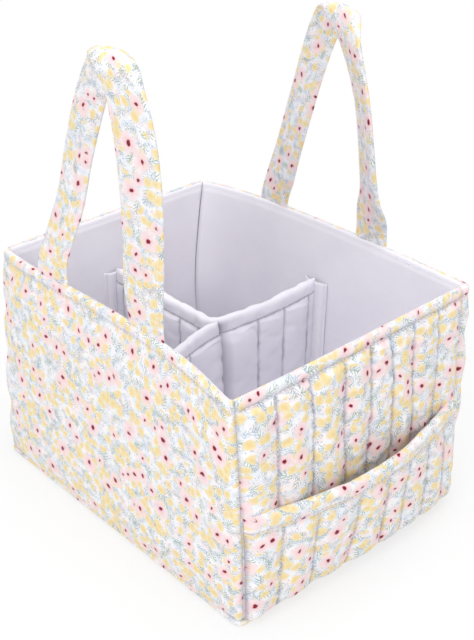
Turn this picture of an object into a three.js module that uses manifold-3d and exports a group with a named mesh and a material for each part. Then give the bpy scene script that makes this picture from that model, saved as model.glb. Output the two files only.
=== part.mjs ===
// A fabric caddy for nappies and bottles: an open box of printed, padded walls over stiffener
// boards and a smooth lining, with a quilted pocket on each end, two carrying straps and a
// lift-out divider that parts one large compartment from two small ones.
// Millimetres, +Z up, X along the caddy. The origin is at the middle of the underside.
import * as THREE from 'three';
import { mergeVertices } from 'three/addons/utils/BufferGeometryUtils.js';
import Module from 'manifold-3d';

// Overall sizes of the box
const bodyLength = 276;
const bodyWidth = 222;
const bodyHeight = 180;
const cornerRadius = 10;
const cornerWrap = 8; // how far a side panel reaches round onto the end, to its seam

// Layers of a wall, from outside to inside, and the gap between pieces that touch
const seat = 0.3;
const shellThickness = 2.6;
const boardThickness = 3;
const liningThickness = 1.8;

// The rim, where shell and lining are turned in and stitched together
const rimHeight = 7;
const rimRound = 3;

// The base panel
const baseThickness = 2.6;
const baseRound = 1.2;

// Sewn channels of the quilted ends and pockets
const channelCount = 8;
const seamInset = 0.6; // a seam lies this far inside the box length
const channelRise = 2.4; // a channel's crown over its seams

// End pockets
const pocketHeight = 91;
const pocketFoot = 1.2; // height of the pocket's lower edge over the ground
const pocketCloth = 1.6;
const pocketChannelRise = 2.6;
const pocketMouthBow = 20;
const pocketFootBow = 8;
const pocketSideShare = 1.4; // how fast the bow dies away towards the side seams
const pocketRiseShare = 1.3; // how slowly it grows from the foot to the mouth
const pocketFootRound = 5; // height over which the lower edge swells out
const hemHeight = 13;
const hemCloth = 1.2;

// Carrying straps
const strapWidth = 38;
const strapThickness = 4.4;
const strapCloth = 0.9;
const strapMiddle = -9; // X of the middle between the two legs
const strapSpread = 52.5; // from there to each leg's centre
const neckThickness = 2.4;
const neckLength = 12;
const neckBore = 0.6;
const strapStem = 14; // straight stretch above each hinge
const strapSway = 8; // one leg passes behind the middle plane, the other before it
const archReach = 34;
const leftStrap = { apex: 28, rise: 168, reach: 31 };
const rightStrap = { apex: 15, rise: 160, reach: 31 };

// Strap tails sewn into the rim
const tailThickness = 2.4;
const tailDepth = 24;
const tailStand = 4.5; // how far the sewn root stands above the rim
const tailBevel = 1.7; // taken off the root's outer edge, where the strap folds down

// The divider
const dividerHeight = 130;
const dividerSeam = 5.4;
const dividerCrown = 9;
const dividerBand = 6.6;
const dividerBandHeight = 15;
const dividerBandRound = 1.6;
const dividerPitch = 26;
const dividerEndStrip = 12;
const dividerBend = 13;
const crossPlace = -5; // X of the cross panel's middle plane
const stemPlace = -3; // Y of the stem panel's middle plane
const insertThickness = 2.4;
const insertMargin = 9; // cloth left round each insert board

// Hook and loop tapes that hold the divider
const hookThickness = 1.2;
const hookWidth = 6;
const loopThickness = 1;
const loopWidth = 14;
const tapeHeight = 100;
const tapeLift = 14; // over the lining floor

// Fineness
const cut = 20; // overrun of every cutter
const weld = 0.001;
const arcSteps = 5;
const channelSteps = 6;
const pocketRows = 6;
const strapSteps = 40;
const endSteps = 3;

// Derived places
const wallThickness = shellThickness + seat + boardThickness + seat + liningThickness;
const shellInner = shellThickness + seat; // insets from the outside of the box
const boardInner = shellInner + boardThickness;
const liningOuter = boardInner + seat;
const halfLength = bodyLength / 2;
const halfWidth = bodyWidth / 2;
const seamY = halfWidth - cornerWrap;
const wallFoot = baseThickness + seat;
const boardTop = bodyHeight - rimHeight - seat;
const baseBoardTop = wallFoot + boardThickness;
const liningFoot = baseBoardTop + seat;
const floorTop = liningFoot + liningThickness;
const insideX = halfLength - wallThickness;
const insideY = halfWidth - wallThickness;
const tailY = halfWidth - (shellInner + boardInner) / 2;
const tailTop = bodyHeight + tailStand;
const hingeZ = tailTop + seat + neckThickness / 2;
const dividerFoot = floorTop + seat;
const dividerTop = dividerFoot + dividerHeight;

const wasm = await Module();
wasm.setup();

// Materials
const paint = (color, roughness) => new THREE.MeshStandardMaterial({ color, roughness, metalness: 0 });
const printedCotton = paint('#f3ebe4', 0.9);
const liningCloth = paint('#d8d5e1', 0.85);
const stiffener = paint('#c9c5bd', 0.8);
const wadding = paint('#efeeea', 1);
const tapeCloth = paint('#e4e2ec', 0.95);

// A step from 0 to 1 that starts and ends gently
const smooth = (share) => THREE.MathUtils.smoothstep(share, 0, 1);

// A closed geometry as a solid for cuts and joins, and back
function solid(geometry) {
  const bare = geometry.clone();
  bare.deleteAttribute('normal');
  bare.deleteAttribute('uv');
  const merged = mergeVertices(bare, weld);
  return new wasm.Manifold(new wasm.Mesh({
    numProp: 3,
    vertProperties: new Float32Array(merged.attributes.position.array),
    triVerts: new Uint32Array(merged.index.array),
  }));
}

function toGeometry(body) {
  const mesh = body.getMesh();
  const geometry = new THREE.BufferGeometry();
  geometry.setAttribute('position', new THREE.BufferAttribute(new Float32Array(mesh.vertProperties), 3));
  geometry.setIndex(new THREE.BufferAttribute(new Uint32Array(mesh.triVerts), 1));
  return flatShaded(geometry);
}

function flatShaded(geometry) {
  const faceted = geometry.index ? geometry.toNonIndexed() : geometry;
  faceted.computeVertexNormals();
  return faceted;
}

// Basic solids placed by their limits
function block(x, y, z) {
  const box = new THREE.BoxGeometry(x[1] - x[0], y[1] - y[0], z[1] - z[0]);
  return box.translate((x[0] + x[1]) / 2, (y[0] + y[1]) / 2, (z[0] + z[1]) / 2);
}

function prism(shape, bottom, top, round = 0) {
  const settings = { depth: top - bottom - 2 * round, bevelEnabled: round > 0, curveSegments: arcSteps };
  const bevel = { bevelThickness: round, bevelSize: round, bevelSegments: endSteps };
  return new THREE.ExtrudeGeometry(shape, { ...settings, ...bevel }).translate(0, 0, bottom + round);
}

// The outline of the box, drawn in by an inset
function traceBox(outline, inset) {
  const x = halfLength - cornerRadius;
  const y = halfWidth - cornerRadius;
  const radius = cornerRadius - inset;
  const corners = [[x, -y], [x, y], [-x, y], [-x, -y]];
  corners.forEach(([cx, cy], turn) => {
    const start = (turn - 1) * Math.PI / 2;
    outline.absarc(cx, cy, radius, start, start + Math.PI / 2, false);
  });
  outline.closePath();
  return outline;
}

function boxRing(outerInset, innerInset) {
  const ring = traceBox(new THREE.Shape(), outerInset);
  ring.holes.push(traceBox(new THREE.Path(), innerInset));
  return ring;
}

const shellRing = solid(prism(boxRing(0, shellThickness), wallFoot, bodyHeight - rimHeight / 2));
const rimShape = boxRing(rimRound, wallThickness - rimRound);
const rimBlank = solid(prism(rimShape, bodyHeight - 3 * rimHeight, bodyHeight, rimRound));
const aboveStitch = solid(block(
  [-halfLength - cut, halfLength + cut], [-halfWidth - cut, halfWidth + cut],
  [bodyHeight - rimHeight, bodyHeight + cut],
));
const rimRing = rimBlank.intersect(aboveStitch);

// Places of a strap's two tails along X, and the space that a tail takes there
const strapPlaces = [strapMiddle - strapSpread, strapMiddle + strapSpread];
const tailSpan = (place, gap) => [place - strapWidth / 2 - gap, place + strapWidth / 2 + gap];

// A side panel: printed wall, round corners and rim, with a slit in the rim for each strap tail
function sidePanel(places) {
  const region = block(
    [-halfLength - cut, halfLength + cut], [-halfWidth - cut, -seamY - seat / 2], [0, bodyHeight + cut],
  );
  let panel = shellRing.add(rimRing).intersect(solid(region));
  for (const place of places) {
    const slit = block(
      tailSpan(place, seat), [-halfWidth + shellInner, -halfWidth + boardInner],
      [bodyHeight - rimHeight - cut, bodyHeight + cut],
    );
    panel = panel.subtract(solid(slit));
  }
  return toGeometry(panel);
}

// The rounded rise of a sewn channel, as a share of its crown, at a share along a row of channels
function channelShare(along, count) {
  return Math.sqrt(Math.abs(Math.sin(Math.PI * count * along)));
}

// The quilted end panel: a plan outline with one crown for each channel, drawn up to the rim
function endPanel() {
  const halfSpan = seamY - seat / 2;
  const steps = channelCount * channelSteps;
  const outline = new THREE.Shape();
  outline.moveTo(halfLength - shellThickness, halfSpan);
  outline.lineTo(halfLength - shellThickness, -halfSpan);
  for (let i = 0; i <= steps; i += 1) {
    const rise = channelRise * channelShare(i / steps, channelCount);
    outline.lineTo(halfLength - seamInset + rise, -halfSpan + 2 * halfSpan * i / steps);
  }
  outline.closePath();
  const quilt = solid(prism(outline, wallFoot, bodyHeight - rimHeight + seat));
  const region = block([0, halfLength + cut], [-halfSpan, halfSpan], [0, bodyHeight + cut]);
  return toGeometry(quilt.add(rimRing.intersect(solid(region))));
}

function basePanel() {
  return flatShaded(prism(traceBox(new THREE.Shape(), baseRound), 0, baseThickness, baseRound));
}

// Stiffener boards, notched where a strap tail lies in the same layer
function sideBoard(places) {
  const reach = halfLength - cornerRadius;
  const layer = [-halfWidth + shellInner, -halfWidth + boardInner];
  let board = solid(block([-reach, reach], layer, [wallFoot, boardTop]));
  for (const place of places) {
    const notch = block(
      tailSpan(place, seat), [layer[0] - cut, layer[1] + cut], [bodyHeight - tailDepth - seat, boardTop + cut],
    );
    board = board.subtract(solid(notch));
  }
  return toGeometry(board);
}

function endBoard() {
  const reach = halfWidth - cornerRadius;
  return block([halfLength - boardInner, halfLength - shellInner], [-reach, reach], [wallFoot, boardTop]);
}

function baseBoard() {
  const x = halfLength - liningOuter;
  const y = halfWidth - liningOuter;
  return block([-x, x], [-y, y], [wallFoot, baseBoardTop]);
}

// Lining pieces
function sideLining() {
  const reach = insideX - seat;
  return block([-reach, reach], [-halfWidth + liningOuter, -insideY], [liningFoot, boardTop]);
}

function endLining() {
  const reach = halfWidth - liningOuter;
  return block([insideX, halfLength - liningOuter], [-reach, reach], [liningFoot, boardTop]);
}

function floorLining() {
  const x = insideX - seat;
  const y = insideY - seat;
  return block([-x, x], [-y, y], [liningFoot, floorTop]);
}

// A closed solid between an outer and an inner surface, each a function of two shares.
// The outer surface faces along its first direction crossed with its second.
function sheetSolid(outer, inner, columns, rows) {
  const points = [];
  const faces = [];
  const stride = columns + 1;
  const layer = stride * (rows + 1);
  for (const surface of [outer, inner]) {
    for (let r = 0; r <= rows; r += 1) {
      for (let c = 0; c <= columns; c += 1) points.push(...surface(c / columns, r / rows).toArray());
    }
  }
  const quad = (a, b, c, d) => faces.push(a, b, c, a, c, d);
  for (let r = 0; r < rows; r += 1) {
    for (let c = 0; c < columns; c += 1) {
      const a = r * stride + c;
      quad(a, a + 1, a + 1 + stride, a + stride);
      quad(layer + a, layer + a + stride, layer + a + 1 + stride, layer + a + 1);
    }
  }
  for (let c = 0; c < columns; c += 1) {
    const top = rows * stride + c;
    quad(c, layer + c, layer + c + 1, c + 1);
    quad(top, top + 1, layer + top + 1, layer + top);
  }
  for (let r = 0; r < rows; r += 1) {
    const low = r * stride;
    const high = low + columns;
    quad(low, low + stride, layer + low + stride, layer + low);
    quad(high, layer + high, layer + high + stride, high + stride);
  }
  return closedGeometry(points, faces);
}

function closedGeometry(points, faces) {
  const geometry = new THREE.BufferGeometry();
  geometry.setAttribute('position', new THREE.Float32BufferAttribute(points, 3));
  geometry.setIndex(faces);
  return flatShaded(geometry);
}

// How far the pocket's inner face stands off the end, at a place across and a height: it leaves
// room for the hem's inner leg below the mouth
const pocketBack = halfLength - seamInset + channelRise + seat;
const pocketHalfSpan = seamY - seat;
const hemFoot = pocketHeight - hemHeight;

function pocketInnerX(y, z) {
  const height = Math.min(z, pocketHeight);
  const swell = pocketFootBow * (1 - Math.exp((pocketFoot - height) / pocketFootRound));
  const mouth = (pocketMouthBow - pocketFootBow) * (height / pocketHeight) ** pocketRiseShare;
  const hemRoom = (hemCloth + seat) * smooth((height - hemFoot) / hemHeight + 1);
  const across = Math.cos(Math.PI / 2 * y / pocketHalfSpan) ** pocketSideShare;
  return pocketBack + hemRoom + (swell + mouth) * across;
}

// The quilted pocket panel: bowed outwards, with channels that flatten into the hem. Its last row
// of facets lies under the hem.
function pocketPanel() {
  const quiltTop = hemFoot - seat;
  const quiltRows = pocketRows - 1;
  const place = (across, up) => {
    const row = Math.round(up * pocketRows);
    const quilted = pocketFoot + (quiltTop - pocketFoot) * row / quiltRows;
    return [-pocketHalfSpan + 2 * pocketHalfSpan * across, row > quiltRows ? pocketHeight : quilted];
  };
  const inner = (across, up) => {
    const [y, z] = place(across, up);
    return new THREE.Vector3(pocketInnerX(y, z), y, z);
  };
  const outer = (across, up) => {
    const [y, z] = place(across, up);
    const rise = z < quiltTop ? pocketChannelRise * channelShare(across, channelCount) : 0;
    return new THREE.Vector3(pocketInnerX(y, z) + pocketCloth + rise, y, z);
  };
  return sheetSolid(outer, inner, channelCount * channelSteps, pocketRows);
}

// A closed solid through a row of alike rings, each ordered anticlockwise about the way it goes
function ringSolid(rings, section) {
  const size = rings[0].length;
  const points = rings.flat().flatMap((point) => point.toArray());
  const caps = THREE.ShapeUtils.triangulateShape(section, []);
  const faces = [];
  for (let i = 0; i < rings.length - 1; i += 1) {
    for (let j = 0; j < size; j += 1) {
      const next = (j + 1) % size;
      const [a, b] = [i * size + j, i * size + next];
      faces.push(a, b, b + size, a, b + size, a + size);
    }
  }
  const last = (rings.length - 1) * size;
  for (const [a, b, c] of caps) faces.push(a, c, b, last + a, last + b, last + c);
  return closedGeometry(points, faces);
}

// The pocket's hem: a folded strip over its upper edge, with a leg on each face
function pocketHem() {
  const fold = pocketHeight + seat;
  const top = fold + hemCloth;
  const nearLeg = [-seat - hemCloth, -seat];
  const farLeg = [pocketCloth + seat, pocketCloth + seat + hemCloth];
  const section = [
    [hemFoot, nearLeg[0]], [top, nearLeg[0]], [top, farLeg[1]], [hemFoot, farLeg[1]],
    [hemFoot, farLeg[0]], [fold, farLeg[0]], [fold, nearLeg[1]], [hemFoot, nearLeg[1]],
  ].map(([z, x]) => new THREE.Vector2(z, x));
  const steps = channelCount * channelSteps / 2;
  const rings = [];
  for (let i = 0; i <= steps; i += 1) {
    const y = -pocketHalfSpan + 2 * pocketHalfSpan * i / steps;
    rings.push(section.map(({ x: z, y: x }) => new THREE.Vector3(pocketInnerX(y, z) + x, y, z)));
  }
  return ringSolid(rings, section);
}

// A shape drawn across and up, carried along X
function lengthwise(shape, [start, end]) {
  const bar = new THREE.ExtrudeGeometry(shape, { depth: end - start, bevelEnabled: false });
  return bar.rotateX(Math.PI / 2).rotateZ(Math.PI / 2).translate(start, 0, 0);
}

// A strap tail: the seam allowance that is sewn into the rim, with its root standing above
function strapTail(place) {
  const [outer, inner] = [-tailY - tailThickness / 2, -tailY + tailThickness / 2];
  const outline = new THREE.Shape();
  outline.moveTo(outer, bodyHeight - tailDepth);
  outline.lineTo(inner, bodyHeight - tailDepth);
  outline.lineTo(inner, tailTop);
  outline.lineTo(outer + tailBevel, tailTop);
  outline.lineTo(outer, tailTop - tailBevel);
  outline.closePath();
  return lengthwise(outline, tailSpan(place, 0));
}

// A strap's centre line from hinge to hinge, in its own frame: straight stems, then two curves
// that meet at the apex
function strapRoute({ apex, rise, reach }) {
  const at = (x, z) => new THREE.Vector3(x, 0, z);
  const route = new THREE.CurvePath();
  const top = at(apex, rise);
  const shoulder = rise - archReach;
  route.add(new THREE.LineCurve3(at(-strapSpread, 0), at(-strapSpread, strapStem)));
  route.add(new THREE.CubicBezierCurve3(
    at(-strapSpread, strapStem), at(-strapSpread, strapStem + archReach), at(apex - reach, rise), top,
  ));
  route.add(new THREE.CubicBezierCurve3(
    top, at(apex + reach, rise), at(strapSpread, shoulder), at(strapSpread, strapStem),
  ));
  route.add(new THREE.LineCurve3(at(strapSpread, strapStem), at(strapSpread, 0)));
  return route;
}

const turnStartShare = 0.24; // share of the strap's length at which its legs begin to turn
const apexTurn = THREE.MathUtils.degToRad(68);
const sectionShares = [
  [1, -0.4], [1, 0.4], [0.95, 1], [-0.95, 1], [-1, 0.4], [-1, -0.4], [-0.95, -1], [0.95, -1],
];

// Frames along the strap: its place, the way its width lies and the way its thickness lies
function strapFrames(form) {
  const route = strapRoute(form);
  const length = route.getLength();
  const place = (share) => {
    const inner = THREE.MathUtils.clamp(share, 0, 1);
    const point = route.getPoint(inner);
    point.z -= (Math.max(-share, 0) + Math.max(share - 1, 0)) * length;
    point.y += strapSway * Math.sin(2 * Math.PI * inner) * smooth(Math.sin(Math.PI * inner));
    return point;
  };
  const frameAt = (distance) => {
    const share = distance / length;
    const step = seat / length;
    const along = place(share + step).sub(place(share - step)).normalize();
    const fromFoot = Math.min(share, 1 - share);
    const turn = apexTurn * smooth((fromFoot - turnStartShare) / (0.5 - turnStartShare));
    const across = new THREE.Vector3(Math.cos(turn), Math.sin(turn), 0);
    across.addScaledVector(along, -across.dot(along)).normalize();
    return { centre: place(share), across, through: along.clone().cross(across) };
  };
  return { length, frameAt };
}

function strapRing({ centre, across, through }, halfWide, halfThick) {
  return sectionShares.map(([wide, thick]) => centre.clone()
    .addScaledVector(across, wide * halfWide).addScaledVector(through, thick * halfThick));
}

// Half the strap's thickness at a distance from the nearer hinge: thin where it is sewn down
function strapHalfThickness(fromHinge) {
  const grown = smooth(fromHinge / neckLength);
  return THREE.MathUtils.lerp(neckThickness, strapThickness, grown) / 2;
}

// Stations along the sleeve: even along its length, with its ends rounded about the hinges
function sleeveStations(length) {
  const round = neckThickness / 2;
  const lastAngle = Math.acos(2 * neckBore / neckThickness);
  const rounded = [];
  for (let i = endSteps; i > 0; i -= 1) {
    const angle = lastAngle * i / endSteps;
    rounded.push({ distance: -round * Math.sin(angle), half: round * Math.cos(angle) });
  }
  const even = [];
  for (let i = 0; i <= strapSteps; i += 1) {
    const distance = length * i / strapSteps;
    even.push({ distance, half: strapHalfThickness(Math.min(distance, length - distance)) });
  }
  const far = rounded.map(({ distance, half }) => ({ distance: length - distance, half })).reverse();
  return [...rounded, ...even, ...far];
}

// The sleeve: a flat tube of printed cloth, open at both ends
function strapSleeve(form) {
  const { length, frameAt } = strapFrames(form);
  const stations = sleeveStations(length);
  const outer = stations.map(({ distance, half }) => strapRing(frameAt(distance), strapWidth / 2, half));
  const inner = stations.map(({ distance, half }) => strapRing(
    frameAt(distance), strapWidth / 2 - strapCloth, Math.max(half - strapCloth, neckBore / 2),
  ));
  const size = sectionShares.length;
  const points = [...outer, ...inner].flat().flatMap((point) => point.toArray());
  const layer = stations.length * size;
  const faces = [];
  const quad = (a, b, c, d) => faces.push(a, b, c, a, c, d);
  for (let j = 0; j < size; j += 1) {
    const next = (j + 1) % size;
    for (let i = 0; i < stations.length - 1; i += 1) {
      const [a, b] = [i * size + j, i * size + next];
      quad(a, b, b + size, a + size);
      quad(layer + a, layer + a + size, layer + b + size, layer + b);
    }
    const last = layer - size;
    quad(j, layer + j, layer + next, next);
    quad(last + j, last + next, layer + last + next, layer + last + j);
  }
  return closedGeometry(points, faces);
}

// The wadding core inside the sleeve, between the two necks: it keeps to the sleeve's stations,
// so their facets run side by side
function strapCore(form) {
  const { length, frameAt } = strapFrames(form);
  const halfThick = strapThickness / 2 - strapCloth - seat;
  const halfWide = strapWidth / 2 - strapCloth - seat;
  const padded = ({ distance }) => distance >= neckLength && distance <= length - neckLength;
  const rings = sleeveStations(length).filter(padded)
    .map(({ distance }) => strapRing(frameAt(distance), halfWide, halfThick));
  const section = sectionShares.map(([wide, thick]) => new THREE.Vector2(wide * halfWide, thick * halfThick));
  return ringSolid(rings, section);
}

// Divider panels: the plan route of each, and where its ends meet the tapes
const tapeStack = seat + loopThickness + seat + hookThickness + seat;
const dividerEndY = insideY - tapeStack;
const stemStart = -insideX + tapeStack;

function longRoute() {
  const route = new THREE.Path();
  route.moveTo(stemStart, stemPlace);
  route.lineTo(crossPlace - dividerBend, stemPlace);
  route.absarc(crossPlace - dividerBend, stemPlace + dividerBend, dividerBend, -Math.PI / 2, 0, false);
  route.lineTo(crossPlace, dividerEndY);
  return route;
}

function branchRoute() {
  const route = new THREE.Path();
  route.moveTo(crossPlace, -dividerEndY);
  route.lineTo(crossPlace, branchEnd);
  return route;
}

// The outline of a panel along its route, as wide as its thickness, drawn in at each end
function panelOutline(route, thicknessAt, endInset = 0) {
  const length = route.getLength();
  const steps = Math.round(length / dividerPitch) * channelSteps;
  const near = [];
  const far = [];
  for (let i = 0; i <= steps; i += 1) {
    const distance = endInset + (length - 2 * endInset) * i / steps;
    const share = Math.min(distance / length, 1);
    const point = route.getPoint(share);
    const along = route.getTangent(share);
    const aside = new THREE.Vector2(-along.y, along.x);
    const half = thicknessAt(distance, length) / 2;
    near.push(point.clone().addScaledVector(aside, half));
    far.push(point.clone().addScaledVector(aside, -half));
  }
  return new THREE.Shape([...near, ...far.reverse()]);
}

function quiltedThickness(distance, length) {
  const span = length - 2 * dividerEndStrip;
  const along = THREE.MathUtils.clamp((distance - dividerEndStrip) / span, 0, 1);
  const rise = (dividerCrown - dividerSeam) * channelShare(along, Math.round(span / dividerPitch));
  return dividerSeam + rise;
}

// A padded panel with a plain band along its top and a slot from below for each insert board
function dividerPanel(route, slots) {
  const bandFoot = dividerTop - dividerBandHeight;
  const quilt = solid(prism(panelOutline(route, quiltedThickness), dividerFoot, bandFoot));
  const bandCore = panelOutline(route, () => dividerBand - 2 * dividerBandRound, dividerBandRound);
  let panel = quilt.add(solid(prism(bandCore, bandFoot - dividerBandRound, dividerTop, dividerBandRound)));
  for (const slot of slots) panel = panel.subtract(solid(insertBlock(slot, seat, cut)));
  return toGeometry(panel);
}

// The space of an insert board, grown by a gap and reaching below by an overrun
function insertBlock({ x, y }, gap, below) {
  const grow = ([low, high]) => [low - gap, high + gap];
  return block(grow(x), grow(y), [dividerFoot - below, insertTop + gap]);
}

const insertTop = dividerTop - dividerBandHeight;
const insertHalf = insertThickness / 2;
const branchEnd = stemPlace - dividerCrown / 2;
const stemInsert = {
  x: [stemStart + insertMargin, crossPlace - dividerBend - insertMargin],
  y: [stemPlace - insertHalf, stemPlace + insertHalf],
};
const crossInsert = {
  x: [crossPlace - insertHalf, crossPlace + insertHalf],
  y: [stemPlace + dividerBend + insertMargin, dividerEndY - insertMargin],
};
const branchInsert = {
  x: [crossPlace - insertHalf, crossPlace + insertHalf],
  y: [-dividerEndY + insertMargin, branchEnd - insertMargin],
};

// A tape on a wall and its mate on a divider end, drawn for a wall that faces along +X
function tape(near, thickness, width) {
  const low = floorTop + tapeLift;
  return block([near, near + thickness], [-width / 2, width / 2], [low, low + tapeHeight]);
}

const part = new THREE.Group();

function add(parent, name, geometry, material) {
  const mesh = new THREE.Mesh(geometry, material);
  mesh.name = name;
  parent.add(mesh);
  return mesh;
}

add(part, 'base_panel', basePanel(), printedCotton);
add(part, 'base_board', baseBoard(), stiffener);
add(part, 'lining_floor', floorLining(), liningCloth);

// The box is the same after half a turn, so each half holds one side and one end, and the strap
// places are turned along with it
const halves = [
  { side: 'left', end: 'front', turn: 0 },
  { side: 'right', end: 'back', turn: Math.PI },
];
for (const { side, end, turn } of halves) {
  const half = new THREE.Group();
  half.rotation.z = turn;
  const places = strapPlaces.map((place) => place * Math.cos(turn));
  add(half, `side_panel_${side}`, sidePanel(places), printedCotton);
  add(half, `side_board_${side}`, sideBoard(places), stiffener);
  add(half, `lining_side_${side}`, sideLining(), liningCloth);
  add(half, `end_panel_${end}`, endPanel(), printedCotton);
  add(half, `end_board_${end}`, endBoard(), stiffener);
  add(half, `lining_end_${end}`, endLining(), liningCloth);
  add(half, `pocket_${end}`, pocketPanel(), printedCotton);
  add(half, `pocket_hem_${end}`, pocketHem(), printedCotton);
  places.forEach((place, i) => {
    add(half, `strap_tail_${side}_${i + 1}`, strapTail(place), printedCotton);
  });
  part.add(half);
}

// Straps, each in a frame whose X axis is its hinge line
const straps = [
  { side: 'left', y: -tailY, form: leftStrap },
  { side: 'right', y: tailY, form: rightStrap },
];
for (const { side, y, form } of straps) {
  const handle = new THREE.Group();
  handle.position.set(strapMiddle, y, hingeZ);
  add(handle, `handle_${side}_sleeve`, strapSleeve(form), printedCotton);
  add(handle, `handle_${side}_core`, strapCore(form), wadding);
  part.add(handle);
}

// The divider and its tapes
add(part, 'divider_long_panel', dividerPanel(longRoute(), [stemInsert, crossInsert]), liningCloth);
add(part, 'divider_branch_panel', dividerPanel(branchRoute(), [branchInsert]), liningCloth);
add(part, 'divider_stem_board', insertBlock(stemInsert, 0, 0), stiffener);
add(part, 'divider_cross_board', insertBlock(crossInsert, 0, 0), stiffener);
add(part, 'divider_branch_board', insertBlock(branchInsert, 0, 0), stiffener);

const tapePlaces = [
  { name: 'back', x: 0, y: stemPlace, turn: 0, wall: -insideX },
  { name: 'left', x: crossPlace, y: 0, turn: Math.PI / 2, wall: -insideY },
  { name: 'right', x: crossPlace, y: 0, turn: -Math.PI / 2, wall: -insideY },
];
for (const { name, x, y, turn, wall } of tapePlaces) {
  const pair = new THREE.Group();
  pair.position.set(x, y, 0);
  pair.rotation.z = turn;
  add(pair, `loop_tape_${name}`, tape(wall + seat, loopThickness, loopWidth), tapeCloth);
  add(pair, `hook_tape_${name}`, tape(wall + tapeStack - seat - hookThickness, hookThickness, hookWidth), tapeCloth);
  part.add(pair);
}

export default part;
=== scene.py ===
# %% [markdown]
# # A quilted caddy for nappies and bottles
#
# The object is sewn, not moulded: printed cotton over wadding and stiff boards, a plain lilac-grey
# lining, a quilted pocket on each end, two padded straps and a padded divider. Nearly every surface
# is cloth, so this lesson makes flat sheets, lets a cloth simulation puff them up between their
# seams, and then wraps them round the box as a sewer would. The construction comes from the CAD
# frame, and every size that the frame holds is read from it.

# %% The frame
import math

import bmesh
import bpy
import numpy as np
from mathutils import Matrix, Vector


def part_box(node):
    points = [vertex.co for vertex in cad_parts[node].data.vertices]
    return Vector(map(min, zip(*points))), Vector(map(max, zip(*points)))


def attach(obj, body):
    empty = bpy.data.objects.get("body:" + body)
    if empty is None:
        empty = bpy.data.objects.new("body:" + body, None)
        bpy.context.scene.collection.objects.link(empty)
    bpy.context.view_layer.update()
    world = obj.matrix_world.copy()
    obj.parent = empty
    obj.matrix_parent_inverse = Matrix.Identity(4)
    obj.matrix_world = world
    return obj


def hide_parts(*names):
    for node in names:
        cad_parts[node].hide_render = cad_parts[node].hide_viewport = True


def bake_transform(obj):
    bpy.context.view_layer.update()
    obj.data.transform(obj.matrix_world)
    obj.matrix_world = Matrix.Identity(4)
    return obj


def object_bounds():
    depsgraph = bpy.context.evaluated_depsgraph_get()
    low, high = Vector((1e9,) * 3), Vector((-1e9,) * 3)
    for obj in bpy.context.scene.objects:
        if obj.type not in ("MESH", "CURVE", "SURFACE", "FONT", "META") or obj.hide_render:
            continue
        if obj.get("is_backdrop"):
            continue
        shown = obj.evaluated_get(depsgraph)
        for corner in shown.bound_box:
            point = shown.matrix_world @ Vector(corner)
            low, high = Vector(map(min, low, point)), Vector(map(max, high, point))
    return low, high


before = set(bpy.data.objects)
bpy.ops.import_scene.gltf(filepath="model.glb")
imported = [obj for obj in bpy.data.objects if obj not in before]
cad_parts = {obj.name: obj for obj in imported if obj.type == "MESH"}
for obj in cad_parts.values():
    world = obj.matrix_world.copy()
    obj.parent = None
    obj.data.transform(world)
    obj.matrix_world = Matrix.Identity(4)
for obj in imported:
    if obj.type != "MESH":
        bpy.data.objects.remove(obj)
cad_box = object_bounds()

MM = 0.001
TURN = 2 * math.pi

# %% [markdown]
# ## Sizes
#
# The boxes of the CAD nodes give the walls, the pocket and the divider. Only what cloth adds, such
# as the roll of the rim, is a size of its own here.

# %% Sizes read from the frame
side_low, side_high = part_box("side_panel_left")
half_length, half_width, height = side_high.x, -side_low.y, side_high.z
inner_y = -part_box("lining_side_left")[1].y
inner_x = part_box("lining_end_front")[0].x
floor_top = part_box("lining_floor")[1].z
wall = half_width - inner_y
pocket_low, pocket_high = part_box("pocket_front")
long_low, long_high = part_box("divider_long_panel")
branch_low, branch_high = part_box("divider_branch_panel")
print("box", [round(2 * half_length, 3), round(2 * half_width, 3), round(height, 3)], "wall", round(wall, 4))

# %% [markdown]
# ## Helpers for sheets
#
# A sheet starts as a grid from Blender's own primitive, sized in edit mode. Its UV map keeps the
# flat place of every point in metres, so that the print and the weave keep their real scale on the
# finished, puffed and bent cloth.


# %% Flat sheets
def only(piece):
    bpy.ops.object.select_all(action="DESELECT")
    piece.select_set(True)
    bpy.context.view_layer.objects.active = piece


def points_of(piece):
    points = np.empty(3 * len(piece.data.vertices))
    piece.data.vertices.foreach_get("co", points)
    return points.reshape(-1, 3)


def set_points(piece, points):
    piece.data.vertices.foreach_set("co", np.asarray(points, float).ravel())
    piece.data.update()


def grid_lines(start, end, step, seams):
    """Places for a sheet's grid lines: one on each seam, and close ones beside it."""
    places = [start]
    for low, high in zip([start, *seams], [*seams, end]):
        count = max(2, round((high - low) / step))
        share = np.arange(1, count + 1) / count
        crowd = 0.7 if len(seams) else 0
        places.extend(low + (high - low) * (share - crowd * np.sin(TURN * share) / TURN))
    return np.array(places)


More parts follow.
